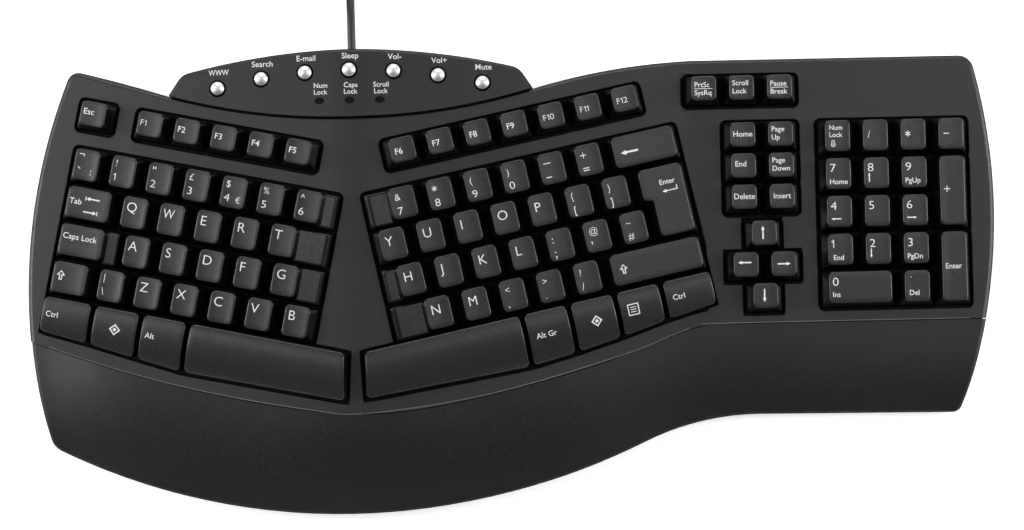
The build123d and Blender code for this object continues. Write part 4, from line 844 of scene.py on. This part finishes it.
# How far a block's print is moved
PRINT_SHIFT: dict[Block, Point2] = {
    Block.LEFT: (-0.2, 0.4), Block.RIGHT: (0.4, -0.6), Block.SIDE: (-0.4, 0.0)}
THUMB_KEYS = ("ctrl_key_left", "super_key_left", "alt_key", "space_bar_left", "space_bar_right", "alt_gr_key",
              "super_key_right", "menu_key", "ctrl_key_right")

ARROW_TIP = 0.93            # tip of an arrow that points at a bar, and where its bar starts
ARROW_BAR = 0.94


def arrow(turn: int, bar: bool = False, shaft: float = 0.055, head: float = 0.30,
          wing: float = 0.14) -> list[Outline]:
    """Outline of a straight arrow one unit long, in the box from 0 to 1.

    Args:
        turn: Quarter turns from pointing right.
        bar: True for a bar across its tip.
        shaft: Half thickness of its line.
        head: Length of its head.
        wing: Half width of its head.

    Returns:
        Closed outlines.
    """
    tip = ARROW_TIP if bar else 1.0
    shapes = [[(0, -shaft), (tip - head, -shaft), (tip - head, -wing), (tip, 0), (tip - head, wing),
               (tip - head, shaft), (0, shaft)]]
    if bar:
        shapes.append(oblong(ARROW_BAR, 1.0, -wing, wing))
    reach = 1 if turn < 2 else -1
    if turn % 2:
        return [[(wing - reach * y, 0.5 + reach * (x - 0.5)) for x, y in s] for s in shapes]
    return [[(0.5 + reach * (x - 0.5), reach * y) for x, y in s] for s in shapes]


def divided(corners: Outline, parts: int = 6) -> Outline:
    """Outline with points along its sides, so that it can bend over a crowned key."""
    return [(a[0] + (b[0] - a[0]) * i / parts, a[1] + (b[1] - a[1]) * i / parts)
            for a, b in zip(corners, corners[1:] + corners[:1]) for i in range(parts)]


def diamond(reach: float) -> Outline:
    """Square standing on a corner in the middle of the unit box."""
    return divided([(0.5 + reach, 0.5), (0.5, 0.5 + reach), (0.5 - reach, 0.5), (0.5, 0.5 - reach)])


def star(x: float, y: float, reach: float, half: float, arms: int = 6) -> Outline:
    """Star of straight arms, such as an asterisk or, with four arms, a plus sign."""
    points = []
    for i in range(arms):
        angle = pi / 2 + 2 * pi * i / arms
        dx, dy = cos(angle), sin(angle)
        notch = half / tan(pi / arms)
        points += [(x + dx * notch + dy * half, y + dy * notch - dx * half),
                   (x + dx * reach + dy * half, y + dy * reach - dx * half),
                   (x + dx * reach - dy * half, y + dy * reach + dx * half)]
    return points


# How wide some signs are, where the built-in font's own width is 1
WIDTHS: dict[str, float] = {"W": 0.8, "WWW": 0.8, "M": 0.94} | {c: 1.15 for c in "0234567890"}

# Drawn signs, each in a box one unit high or, for arrows and rules, one unit long; the super keys carry a
# diamond with a smaller one inside
SIGNS: dict[str, list[Outline]] = {
    "1": [[(0.22, 0), (0.33, 0), (0.33, 1), (0.25, 1), (0.18, 0.86), (0.0, 0.8), (0.0, 0.72), (0.22, 0.74)]],
    "-": [oblong(0, 0.78, 0.36, 0.48)],
    "_": [oblong(0, 1.15, 0.4, 0.52)],
    "=": [oblong(0, 0.85, 0.16, 0.28), oblong(0, 0.85, 0.48, 0.6)],
    "+": [star(0.45, 0.42, 0.45, 0.06, 4)],
    "*": [star(0.4, 0.55, 0.42, 0.06)],
    ":": [oblong(0.1, 0.28, 0, 0.18), oblong(0.1, 0.28, 0.6, 0.78)],
    ";": [oblong(0.1, 0.28, 0.6, 0.78),
          [(0.1, 0), (0.1, 0.18), (0.28, 0.18), (0.28, -0.06), (0.17, -0.28), (0.08, -0.28), (0.17, 0)]],
    "'": [oblong(0.1, 0.24, 0.6, 1.0)],
    '"': [oblong(0.05, 0.2, 0.6, 1.0), oblong(0.38, 0.53, 0.6, 1.0)],
    "`": [[(0.02, 1.0), (0.36, 0.72), (0.5, 0.72), (0.22, 1.0)]],
    "¬": [[(0, 0.5), (0.74, 0.5), (0.74, 0.2), (0.88, 0.2), (0.88, 0.64), (0, 0.64)]],
    "¦": [oblong(0.2, 0.36, -0.1, 0.34), oblong(0.2, 0.36, 0.66, 1.1)],
    "arrow right": arrow(0), "arrow up": arrow(1), "arrow left": arrow(2), "arrow down": arrow(3),
    "tab back": arrow(2, bar=True, shaft=0.045, head=0.26),
    "tab on": arrow(0, bar=True, shaft=0.045, head=0.26),
    "rule": [oblong(0, 1, -0.015, 0.015)],
    "return": [[(0, 0.1), (0.28, -0.02), (0.28, 0.07), (1, 0.07), (1, 0.36), (0.94, 0.36), (0.94, 0.13),
                (0.28, 0.13), (0.28, 0.22)]],
    "shift": [
        [(0.28, 0), (0.62, 0), (0.62, 0.48), (0.9, 0.48), (0.45, 1), (0, 0.48), (0.28, 0.48)],
        [(0.38, 0.1), (0.38, 0.58), (0.21, 0.58), (0.45, 0.86), (0.69, 0.58), (0.52, 0.58), (0.52, 0.1)]],
    "meta": [diamond(0.5), diamond(0.34), diamond(0.18)],
    "menu": [divided(oblong(0, 1, 0, 1)), divided(oblong(0.09, 0.91, 0.09, 0.91))] + [
        divided(oblong(0.24, 0.76, y - 0.035, y + 0.035), 2) for y in (0.3, 0.5, 0.7)],
    "padlock": [circle(0.4, 0.32, 0.32), circle(0.4, 0.32, 0.22), circle(0.4, 0.32, 0.09),
                [(0.16, 0.58)] + circle(0.4, 0.72, 0.24, 10, 0.5) + [(0.16, 0.58), (0.24, 0.6)]
                + circle(0.4, 0.72, 0.16, 10, 0.5)[::-1] + [(0.56, 0.56), (0.64, 0.56)]],
}


class Printer:
    """Makes printed legends: words in a plain sans serif and drawn signs, laid on a surface."""

    CAPITAL = 0.682             # height of a capital in the built-in font, in its own units
    LINES = 3                   # straight parts of a curved stroke between two of its points
    THIN = -0.012               # what each side of a stroke gains in a single letter and in a word,
    BOLD = 0.008                # in heights of a capital
    LONGEST = 0.3               # longer edges, in the same unit, are halved, so that the print bends
    HALVINGS = 2
    GAP = 0.17                  # between a drawn figure and the letters beside it
    BODY = 3                    # height of the print's body and how much of it is sunk, in thicknesses
    SUNK = 1.2

    def __init__(self) -> None:
        """Start without any made sign."""
        self.made: dict[str, Mesh] = {}

    def sign(self, name: str) -> Mesh:
        """Make a sign or word flat, with capitals one unit high.

        Args:
            name: A drawn sign's name, or the words themselves.

        Returns:
            Its points, whose Z runs from 0 below to 1 above, and its faces.
        """
        if name in self.made:
            return self.made[name]
        if "1" in name and name != "1":
            self.made[name] = self.joined(name)
            return self.made[name]
        if name in SIGNS:
            curve = bpy.data.curves.new("sign", "CURVE")
            curve.dimensions = "2D"
            curve.fill_mode = "BOTH"
            for outline in SIGNS[name]:
                spline = curve.splines.new("POLY")
                spline.points.add(len(outline) - 1)
                for point, (x, y) in zip(spline.points, outline):
                    point.co = (x, y, 0, 1)
                spline.use_cyclic_u = True
        else:
            curve = bpy.data.curves.new("sign", "FONT")
            curve.body = name
            curve.size = 1 / self.CAPITAL
            curve.resolution_u = self.LINES
            curve.offset = self.THIN if len(name) == 1 else self.BOLD
        curve.extrude = 0.5
        carrier = bpy.data.objects.new("sign", curve)
        bpy.context.scene.collection.objects.link(carrier)
        bpy.context.view_layer.update()
        mesh = bpy.data.meshes.new_from_object(carrier)
        fine = bmesh.new()
        fine.from_mesh(mesh)
        bmesh.ops.triangulate(fine, faces=fine.faces)
        for _ in range(self.HALVINGS):
            long = [e for e in fine.edges
                    if (e.verts[0].co - e.verts[1].co).to_2d().length > self.LONGEST]
            bmesh.ops.subdivide_edges(fine, edges=long, cuts=1)
            bmesh.ops.triangulate(fine, faces=fine.faces)
        fine.verts.index_update()
        wide = WIDTHS.get(name, 1.0)
        result = ([Vector((v.co.x * wide, v.co.y, v.co.z + 0.5)) for v in fine.verts],
                  [tuple(v.index for v in face.verts) for face in fine.faces])
        fine.free()
        bpy.data.objects.remove(carrier)
        bpy.data.curves.remove(curve)
        bpy.data.meshes.remove(mesh)
        self.made[name] = result
        return result

    def joined(self, name: str) -> Mesh:
        """Make a word whose figure 1 is the drawn one, sign by sign."""
        points: list[Vector] = []
        faces: list[tuple[int, ...]] = []
        for sign in name:
            own, own_faces = self.sign(sign)
            shift = max((p.x for p in points), default=-self.GAP) + self.GAP - min(p.x for p in own)
            faces += [tuple(len(points) + i for i in face) for face in own_faces]
            points += [p + Vector((shift, 0, 0)) for p in own]
        return points, faces

    def lay(self, draft: Draft, mark: Mark, middle: Point2, crown: Crown) -> None:
        """Lay a mark on a surface.

        Args:
            draft: Draft that it goes into.
            mark: What is printed, and where.
            middle: Point that the mark's place is counted from.
            crown: Height of the surface at a point.
        """
        points, faces = self.sign(mark.sign)
        start = len(draft.points)
        for point in points:
            x = middle[0] + mark.x + point.x * mark.height
            y = middle[1] + mark.y + point.y * mark.height
            draft.points.append(Vector((x, y, crown(x, y) + PRINT * (self.BODY * point.z - self.SUNK))))
        draft.faces += [tuple(start + i for i in face) for face in faces]
        draft.slots += [0] * len(faces)


@dataclass
class Keys:
    """All keys: fine caps in place of the CAD's, and their legends."""

    nodes: Nodes
    printer: Printer

    def shape(self, name: str, solid: list[Vector]) -> Cap:
        """Choose the kind of cap that a key has."""
        if name in THUMB_KEYS:
            return ThumbCap(solid)
        return EnterCap(solid) if name == "enter_key" else ScoopedCap(solid)

    def build(self) -> None:
        """Build every key's caps and legends and set them on their bodies."""
        for block, keys in LEGENDS.items():
            for name, legends in keys.items():
                self.build_key(name, block, legends)

    def build_key(self, name: str, block: Block, legends: list[Legend]) -> None:
        """Build the caps and legends of one node.

        Args:
            name: The node's name.
            block: Its block.
            legends: The legend of each of its keys.
        """
        caps = [self.shape(name, solid) for solid in lumps(self.nodes[name], block.place)]
        body = Draft()
        for cap in caps:
            cap.draw(body)
        body.place(block.place)
        piece = body.piece(f"caps.{name}", (CAP_TOP_FINISH, CAP_SIDE_PAINTED_SHADE))
        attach(piece, self.nodes[name]["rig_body"])
        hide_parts(name)
        if legends:
            print_layer = Draft()
            shift = PRINT_SHIFT[block]
            for cap, marks in zip(caps, legends):
                for mark in marks:
                    middle = (cap.middle[0] + shift[0], cap.middle[1] + shift[1])
                    self.printer.lay(print_layer, mark, middle, cap.crown)
            print_layer.place(block.place)
            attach(print_layer.piece(f"legends.{name}", (INK,)), self.nodes[name]["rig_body"])
        log.info("keys of %s: %d caps, %d faces", name, len(caps), len(piece.data.polygons))


@dataclass
class Lead:
    """The lead: out of the hump's gland, down to the desk and into a coil put away behind the case."""

    exit: Point3 = (RIDGE_X, 116.9, 13.0)
    route: tuple[Point3, ...] = ((RIDGE_X, 133.0, 13.0), (RIDGE_X - 0.5, 146.0, 9.4), (RIDGE_X, 161.0, 2.8),
                                 (RIDGE_X, 176.0, 2.8))
    diameter: float = 4.2
    length: float = 1800.0
    layers: int = 4
    halves: int = 4             # half turns of the spiral in a layer
    mean: float = 26.5          # middle radius of the coil
    pitch: float = 4.8
    rise: float = 4.75          # from one layer to the next
    reverse_room: float = 0.7
    plug_end: Point3 = (-10.0, 21.0, 23.45)     # from the coil's middle
    steps: int = 8              # control points in a half turn
    fineness: int = 6           # of the drawn curve along its length and around it
    sides: int = 5

    def middle(self) -> tuple[float, float]:
        """Middle of the coil, seen from above."""
        return self.route[-1][0] - self.mean - self.halves / 4 * self.pitch - self.reverse_room, (
            self.route[-1][1] + self.diameter)

    def radii(self) -> list[float]:
        """Radii at which the half turns of a layer meet, from the outside in."""
        made = [self.mean + (self.halves / 2 - i) * self.pitch / 2 for i in range(self.halves + 1)]
        made[0] += self.reverse_room
        made[-1] -= self.reverse_room
        return made

    def joints(self) -> list[Vector]:
        """Where the half turns meet, from the desk upwards, in and out again, and last at the plug."""
        x, y = self.middle()
        low = self.route[-1][2]
        made = []
        for layer in range(self.layers):
            for radius in self.radii()[::-1] if layer % 2 else self.radii():
                side = -1 if len(made) % 2 else 1
                made.append(Vector((x + side * radius, y, low + layer * self.rise)))
        made.append(Vector((x + self.radii()[0], y, low + self.layers * self.rise)))
        made.append(Vector((x + self.plug_end[0], y + self.plug_end[1], self.plug_end[2])))
        return made

    def line(self) -> list[Vector]:
        """Control points of the whole lead, from the gland to the plug."""
        gain = 1 / cos(pi / self.steps / 2)         # the spline runs inside its points
        points = [Vector(self.exit)] + [Vector(p) for p in self.route]
        joints = self.joints()
        for i, (start, end) in enumerate(zip(joints, joints[1:])):
            centre = (start + end) / 2
            heading = Vector((0, -1 if i % 2 else 1, 0)) * (end - start).length / 2
            for k in range(self.steps):
                angle = pi * (k + 0.5) / self.steps
                around = (start - centre) * cos(angle) + heading * sin(angle)
                points.append(centre + Vector((around.x * gain, around.y * gain, around.z)))
        points.append(joints[-1])
        points.append(joints[-1] - Vector((0, self.diameter, 0)))
        return points

    def build(self, nodes: Nodes) -> None:
        curve = bpy.data.curves.new("lead", "CURVE")
        curve.dimensions = "3D"
        curve.resolution_u = self.fineness
        curve.bevel_depth = self.diameter / 2 * MM
        curve.bevel_resolution = self.sides
        curve.use_fill_caps = True
        points = self.line()
        spline = curve.splines.new("NURBS")
        spline.points.add(len(points) - 1)
        for point, place in zip(spline.points, points):
            point.co = (*(place * MM), 1)
        spline.order_u = 3
        spline.use_endpoint_u = True
        curve.materials.append(JACKET.material())
        lead = bpy.data.objects.new("lead", curve)
        bpy.context.scene.collection.objects.link(lead)
        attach(lead, "case")
        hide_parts("usb_cord", "cord_coil")
        [c * MM for c in self.exit]
        log.info("lead: %d control points", len(points))


@dataclass
class MediaPanel:
    """The raised panel: its seven satin buttons and its printed words."""

    pitch: float = 22.1         # between two buttons
    y: float = 104.7            # middle of the middle button
    arc: float = 304.0          # the buttons lie on a gentle arc
    words: tuple[str, ...] = ("WWW", "Search", "E-mail", "Sleep", "Vol-", "Vol+", "Mute")
    word_height: float = 2.75
    word_lift: float = 6.6      # baseline above the outer buttons' middle
    word_drop: float = 0.9      # how much nearer it lies to the middle button
    word_shift: float = 0.7
    light_words: tuple[str, ...] = ("Num", "Caps", "Scroll")
    light_pitch: float = 15.05
    light_y: float = 89.6
    light_lines: Point2 = (6.4, 3.1)    # baselines above the lights
    light_height: float = 2.4
    radius: float = 3.8
    dome: float = 4.6           # radius of a button's rounded top
    rise: float = 2.2
    ring: int = 32              # sides of a button
    stem: Point2 = (1.5, 6.5)   # its radius, and its end below the panel
    flange: Point2 = (5.0, 0.8)     # its radius and thickness
    seat: float = 2.8           # the flange's top below the panel
    shoulder: float = 0.5       # upright edge of the head
    edge: float = 0.1           # what the dome is narrower
    storeys: int = 10           # of the dome
    dark: int = 7               # lowest storeys, in black: the parts below the panel, and the head's flank and the dome's outer band as a painted shade ring

    def places(self) -> list[Point2]:
        """Middle of each button."""
        half = (len(self.words) - 1) / 2
        return [(RIDGE_X + (i - half) * self.pitch,
                 self.y - self.arc + sqrt(self.arc ** 2 - ((i - half) * self.pitch) ** 2))
                for i in range(len(self.words))]

    def surface(self, x: float, y: float) -> float:
        """Height of the panel at a point."""
        return deck_z(x) + PANEL_RISE

    def build(self, printer: Printer) -> None:
        """Build the buttons and the print."""
        buttons = Draft()
        for x, y in self.places():
            self.draw_button(buttons, x, y)
        piece = buttons.piece("media_buttons.satin", (BUTTON, FRAME_FINISH))
        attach(piece, "media_buttons")
        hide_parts("media_buttons")
        print_layer = Draft()
        half = (len(self.words) - 1) / 2
        for i, ((x, y), text) in enumerate(zip(self.places(), self.words)):
            lift = self.word_lift - self.word_drop * (1 - ((i - half) / half) ** 2)
            self.centre_word(printer, print_layer, text, x + self.word_shift, y + lift, self.word_height)
        for i, text in enumerate(self.light_words):
            x = RIDGE_X + (i - 1) * self.light_pitch + self.word_shift
            for line, lift in zip((text, "Lock"), self.light_lines):
                self.centre_word(printer, print_layer, line, x, self.light_y + lift, self.light_height)
        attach(print_layer.piece("media_panel.words", (INK,)), "case")
        log.info("media panel: %d buttons", len(self.words))

    def centre_word(self, printer: Printer, draft: Draft, text: str, x: float, y: float,
                    height: float) -> None:
        """Print a word with its middle at x."""
        xs = [p.x for p in printer.sign(text)[0]]
        reach = max(xs) + min(xs)
        printer.lay(draft, Mark(text, -reach * height / 2, 0, height), (x, y), self.surface)

    def draw_button(self, draft: Draft, x: float, y: float) -> None:
        """Add one button: a domed head, a flange below the panel and a short stem."""
        top = self.surface(x, y)
        crest = top + self.rise
        seat = top - self.seat
        stem, low = self.stem
        flange, thick = self.flange
        profile = [(stem, top - low), (stem, seat - thick), (flange, seat - thick), (flange, seat),
                   (self.radius, seat)]
        sink = crest - self.dome + sqrt(self.dome ** 2 - self.radius ** 2)
        profile += [(self.radius, sink - self.shoulder), (self.radius - self.edge, sink)]
        for i in range(1, self.storeys):
            reach = (self.radius - self.edge) * (1 - i / self.storeys)
            profile.append((reach, crest - self.dome + sqrt(self.dome ** 2 - reach ** 2)))
        # Painted shade: the head's flank and the dome's outer band take the black frame finish
        draft.tower([[(px, py, z) for px, py in circle(x, y, r, self.ring)] for r, z in profile],
                    [1] * self.dark + [0])


@dataclass
class Corners:
    """Small fillets in the corners of the deck's openings."""

    # Block, nodes at the opening's edges, and its first corner with a fillet, counted anticlockwise
    wells: tuple[tuple[Block, tuple[str, ...], int], ...] = (
        (Block.LEFT, ("esc_key",), 0), (Block.LEFT, ("function_keys_left",), 0),
        (Block.LEFT, ("number_keys_left",), 2), (Block.RIGHT, ("function_keys_right",), 0),
        (Block.RIGHT, ("number_keys_right", "backspace_key"), 2), (Block.SIDE, ("system_keys",), 0),
        (Block.SIDE, ("navigation_keys",), 0),
        (Block.SIDE, ("numpad_top_row", "numpad_enter", "numpad_zero"), 0))
    margin: float = 0.8 + CAP_GAP / 2   # from the caps to the opening's wall
    radius: float = 1.7
    cover: float = 0.7          # how far a fillet reaches over the wall's bevel
    low: float = -3.0
    top: float = 0.02
    steps: int = 6

    def build(self, nodes: Nodes) -> None:
        """Build all fillets as one piece."""
        fillets = Draft()
        for block, names, first in self.wells:
            caps = [p for name in names for solid in lumps(nodes[name], block.place) for p in solid]
            edges = span(caps, SKIRT - TOUCH, SKIRT + TOUCH)
            start = len(fillets.points)
            for (x, y), side in list(zip(oblong(*edges), oblong(-1, 1, -1, 1)))[first:]:
                self.draw(fillets, (x + side[0] * self.margin, y + side[1] * self.margin), side)
            fillets.place(block.place, start)
        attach(fillets.piece("top_cover.corner_fillets", (COVER,)), "case")

    def draw(self, draft: Draft, corner: Point2, side: Point2) -> None:
        """Add the fillet of one corner.

        Args:
            draft: The draft, in the block's millimetres.
            corner: The corner's place.
            side: Which side of the opening it is at, -1 or 1 along X and along Y.
        """
        centre, far = (tuple(c + s * shift for c, s in zip(corner, side))
                       for shift in (-self.radius, self.cover))
        outline = [far, (far[0], centre[1])]
        for i in range(self.steps + 1):
            angle = pi / 2 * i / self.steps
            outline.append((centre[0] + side[0] * self.radius * cos(angle),
                            centre[1] + side[1] * self.radius * sin(angle)))
        outline.append((centre[0], far[1]))
        if side[0] * side[1] > 0:
            outline.reverse()
        draft.tower([[(px, py, z) for px, py in outline] for z in (self.low, self.top)])


@dataclass
class Seams:
    """Strips painted along the case's seams: a painted shadow before the panel, a painted highlight line at
    the palm rest.
    """

    panel_half: float = 91.6    # half the panel's width
    panel_end: float = 94.6     # how far back its front edge lies at the ends and at its middle
    panel_low: float = 81.3
    palm: tuple[Point2, ...] = (
        (-256.0, -22.0), (-205.0, -40.4), (-156.0, -54.1), (-102.0, -64.6), (-72.0, -66.9), (-12.0, -58.7),
        (54.0, -41.0), (80.0, -31.4), (93.0, -27.2), (110.0, -26.0), (280.0, -26.0))
    gap: float = 0.2            # half the seam's width
    shade: float = 1.0          # width of the panel's painted shadow line
    line: float = 0.5           # width of the palm rest's painted highlight line
    short: float = 1.0          # how far inside the palm rest that line ends
    proud: float = 0.04         # how far both stand above the deck and reach below it
    sunk: float = 0.3
    step: float = 3.0           # between a line's points
    parts: int = 6              # straight parts between two of the palm rest's points

    def build(self) -> None:
        """Build both lines."""
        rise = self.panel_end - self.panel_low
        radius = (self.panel_half ** 2 + rise ** 2) / (2 * rise)
        arc = []
        for x in evenly(-self.panel_half, self.panel_half, self.step):
            arc.append((RIDGE_X + x, self.panel_low + radius - sqrt(radius ** 2 - x ** 2)))
        # Painted shadow: a black strip along the front of the panel's seam
        self.draw("media_panel.shadow_line", SHADOW, arc, -self.gap - self.shade, -self.gap)
        left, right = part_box("palm_rest")
        reach = (left.x / MM + self.short, right.x / MM - self.short)
        smooth = [p for p in self.flowing(self.palm) if reach[0] < p[0] < reach[1]]
        # Painted highlight: a light strip along the palm rest's seam
        self.draw("palm_rest.painted_edge_highlight", EDGE_PAINTED_HIGHLIGHT, smooth, self.gap, self.gap + self.line)

    def flowing(self, points: Sequence[Point2]) -> Outline:
        """Run a smooth line through points."""
        made = []
        for i in range(len(points) - 1):
            before, a, b, after = (Vector(points[max(0, min(len(points) - 1, i + k))]) for k in (-1, 0, 1, 2))
            for k in range(self.parts):
                t = k / self.parts
                bend = 2 * before - 5 * a + 4 * b - after
                twist = 3 * a - before - 3 * b + after
                made.append(tuple(0.5 * (2 * a + (b - before) * t + bend * t * t + twist * t ** 3)))
        return made

    def draw(self, name: str, finish: Finish, path: Outline, front: float, back: float) -> None:
        """Build a thin strip on the deck along a path.

        Args:
            name: Its name.
            finish: Its finish.
            path: Points from left to right.
            front: Where its front edge lies, from the path.
            back: Where its back edge lies.
        """
        strip = Draft()
        strip.tower([
            [(x, y + (front if side < 0 else back), deck_z(x) + lift)
             for side, lift in ((-1, -self.sunk), (1, -self.sunk), (1, self.proud), (-1, self.proud))]
            for x, y in path])
        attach(strip.piece(name, (finish,)), "case")


# Finish of each CAD node that is shown as it is
NODE_FINISHES: dict[str, Finish] = {
    "top_cover": COVER, "palm_rest": PALM, "media_panel": PANEL, "bottom_case": TRAY,
    "key_frame_left": FRAME_FINISH, "key_frame_right": FRAME_FINISH, "key_frame_side": FRAME_FINISH,
    "dome_mats": DOME, "switch_membranes": FILM, "base_plates": PLATE, "controller_board": LAMINATE,
    "media_switch_strip": FILM, "status_lights": LENS, "rubber_feet": RUBBER, "case_screws": SCREW,
    "flip_foot_left": TRAY, "flip_foot_right": TRAY, "cable_gland": RUBBER, "cord_tie": TIE_FINISH,
    "usb_plug": PLUG_FINISH,
}


def dress_nodes(nodes: Nodes) -> None:
    """Give each CAD node that stays its finish."""
    for name, finish in NODE_FINISHES.items():
        for holder in nodes[name].material_slots:
            holder.material = finish.material()
    log.info("dressed %d CAD nodes", len(NODE_FINISHES))


@dataclass
class Studio:
    """White sweep, soft lamps and the photograph's camera; none of it belongs to the keyboard."""

    floor: tuple[float, ...] = (0.02, 0.4, 1.2, 2.4)    # radii of the floor's rings, in metres
    sweep: float = 0.9          # radius of its rise into the wall, and the wall's top
    wall: float = 1.0
    around: int = 96
    bends: int = 8
    white: str = "f4f4f4"
    glow: float = 0.6           # what the sweep adds for the eye, so that it reads as white
    sky: float = 0.11
    frame: tuple[int, int] = (1024, 530)
    distance: float = 1200.0
    elevation: float = radians(88)
    roll: float = radians(1.3)
    focal: float = 2370.0       # in the photograph's pixels
    aim: Point3 = (-0.387, -2.178, 15.0)    # point of the keyboard that is seen at aim_pixel
    aim_pixel: Point2 = (511.5, 282.0)
    sensor: float = 36.0
    reach: float = 20.0         # how far the camera sees, in metres
    # Name, place and size in metres, and power in watts
    lamps: tuple[tuple[str, Point3, Point2, float], ...] = (
        ("left softbox", (-1.65, 0.15, 0.95), (0.6, 1.4), 21.0),
        ("right softbox", (1.65, 0.15, 0.95), (0.6, 1.4), 21.0),
        ("back softbox", (0.0, 1.65, 0.95), (1.6, 0.5), 15.0),
        ("left overhead strip", (-0.78, 0.35, 1.6), (0.45, 1.0), 2.6),
        ("right overhead strip", (0.52, 0.35, 1.6), (0.36, 1.0), 2.1),
    )

    def build(self) -> None:
        """Build the sweep, the lamps, the world and the camera."""
        self.build_sweep()
        self.build_world()
        for name, place, size, power in self.lamps:
            light = bpy.data.lights.new(name, "AREA")
            light.shape = "RECTANGLE"
            light.size, light.size_y = size
            light.energy = power
            lamp = bpy.data.objects.new(name, light)
            lamp.location = place
            lamp.rotation_euler = (-Vector(place)).to_track_quat("-Z", "Y").to_euler()
            bpy.context.scene.collection.objects.link(lamp)
        self.build_camera()
        bpy.context.scene.view_settings.view_transform = "Standard"

    def seen(self, holder: bpy.types.ID) -> tuple[bpy.types.Node, str]:
        """Make nodes that give 1 where the eye sees something, straight, mirrored or through glass."""
        path = add_node(holder, "ShaderNodeLightPath")
        seen = (path, "Is Camera Ray")
        for ray in ("Is Glossy Ray", "Is Transmission Ray"):
            either = add_node(holder, "ShaderNodeMath", {0: seen, 1: (path, ray)}, operation="MAXIMUM")
            seen = (either, "Value")
        return seen

    def build_sweep(self) -> None:
        """Build the floor with its rounded rise into a wall all round."""
        profile = [(r, 0.0) for r in self.floor]
        for i in range(1, self.bends + 1):
            angle = pi / 2 * i / self.bends
            profile.append((self.floor[-1] + self.sweep * sin(angle), self.sweep * (1 - cos(angle))))
        profile.append((self.floor[-1] + self.sweep, self.wall))
        sweep = Draft()
        rings = [sweep.ring((x, y, z / MM) for x, y in circle(0, 0, r / MM, self.around)) for r, z in profile]
        sweep.close(rings[0])
        for inner, outer in zip(rings, rings[1:]):
            sweep.bridge(outer, inner)
        finish = blank_material("painted studio sweep, matt white")
        paint = add_node(finish, "ShaderNodeBsdfDiffuse", {"Color": linear(self.white)})
        level = add_node(finish, "ShaderNodeMath", {0: self.seen(finish), 1: self.glow}, operation="MULTIPLY")
        glow = add_node(finish, "ShaderNodeEmission", {"Strength": (level, "Value")})
        both = add_node(finish, "ShaderNodeAddShader", {0: (paint, "BSDF"), 1: (glow, "Emission")})
        add_node(finish, "ShaderNodeOutputMaterial", {"Surface": (both, "Shader")})
        piece = sweep.piece("studio_sweep", ())
        piece.data.materials.append(finish)

    def build_world(self) -> None:
        """Give a dim, even light from above."""
        world = bpy.data.worlds.new("studio")
        world.use_nodes = True
        world.node_tree.nodes.clear()
        sky = add_node(world, "ShaderNodeBackground", {"Color": (1.0, 1.0, 1.0), "Strength": self.sky})
        add_node(world, "ShaderNodeOutputWorld", {"Surface": (sky, "Background")})
        bpy.context.scene.world = world

    def build_camera(self) -> None:
        """Set the camera that gives the photograph's view."""
        ahead = Vector((0, cos(self.elevation), -sin(self.elevation)))
        level = Vector((1, 0, 0))
        up = level.cross(ahead)
        across = level * cos(self.roll) - up * sin(self.roll)
        upward = up * cos(self.roll) + level * sin(self.roll)
        data = bpy.data.cameras.new("camera")
        data.sensor_width = self.sensor
        data.lens = self.focal / self.frame[0] * self.sensor
        data.shift_x = (self.frame[0] / 2 - self.aim_pixel[0]) / self.frame[0]
        data.shift_y = (self.aim_pixel[1] - self.frame[1] / 2) / self.frame[0]
        data.clip_end = self.reach
        camera = bpy.data.objects.new("camera", data)
        turn = Matrix((across, upward, -ahead)).transposed().to_4x4()
        camera.matrix_world = Matrix.Translation((Vector(self.aim) - ahead * self.distance) * MM) @ turn
        bpy.context.scene.collection.objects.link(camera)
        bpy.context.scene.camera = camera


def main() -> None:
    """Build the looks on the frame, piece by piece."""
    logging.basicConfig(level=logging.INFO, format="%(name)s: %(message)s")
    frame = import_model()
    nodes = frame["nodes"]
    Studio().build()
    printer = Printer()
    Lead().build(nodes)
    Keys(nodes, printer).build()
    MediaPanel().build(printer)
    Seams().build()
    Corners().build(nodes)
    dress_nodes(nodes)


if __name__ == "__main__":
    main()
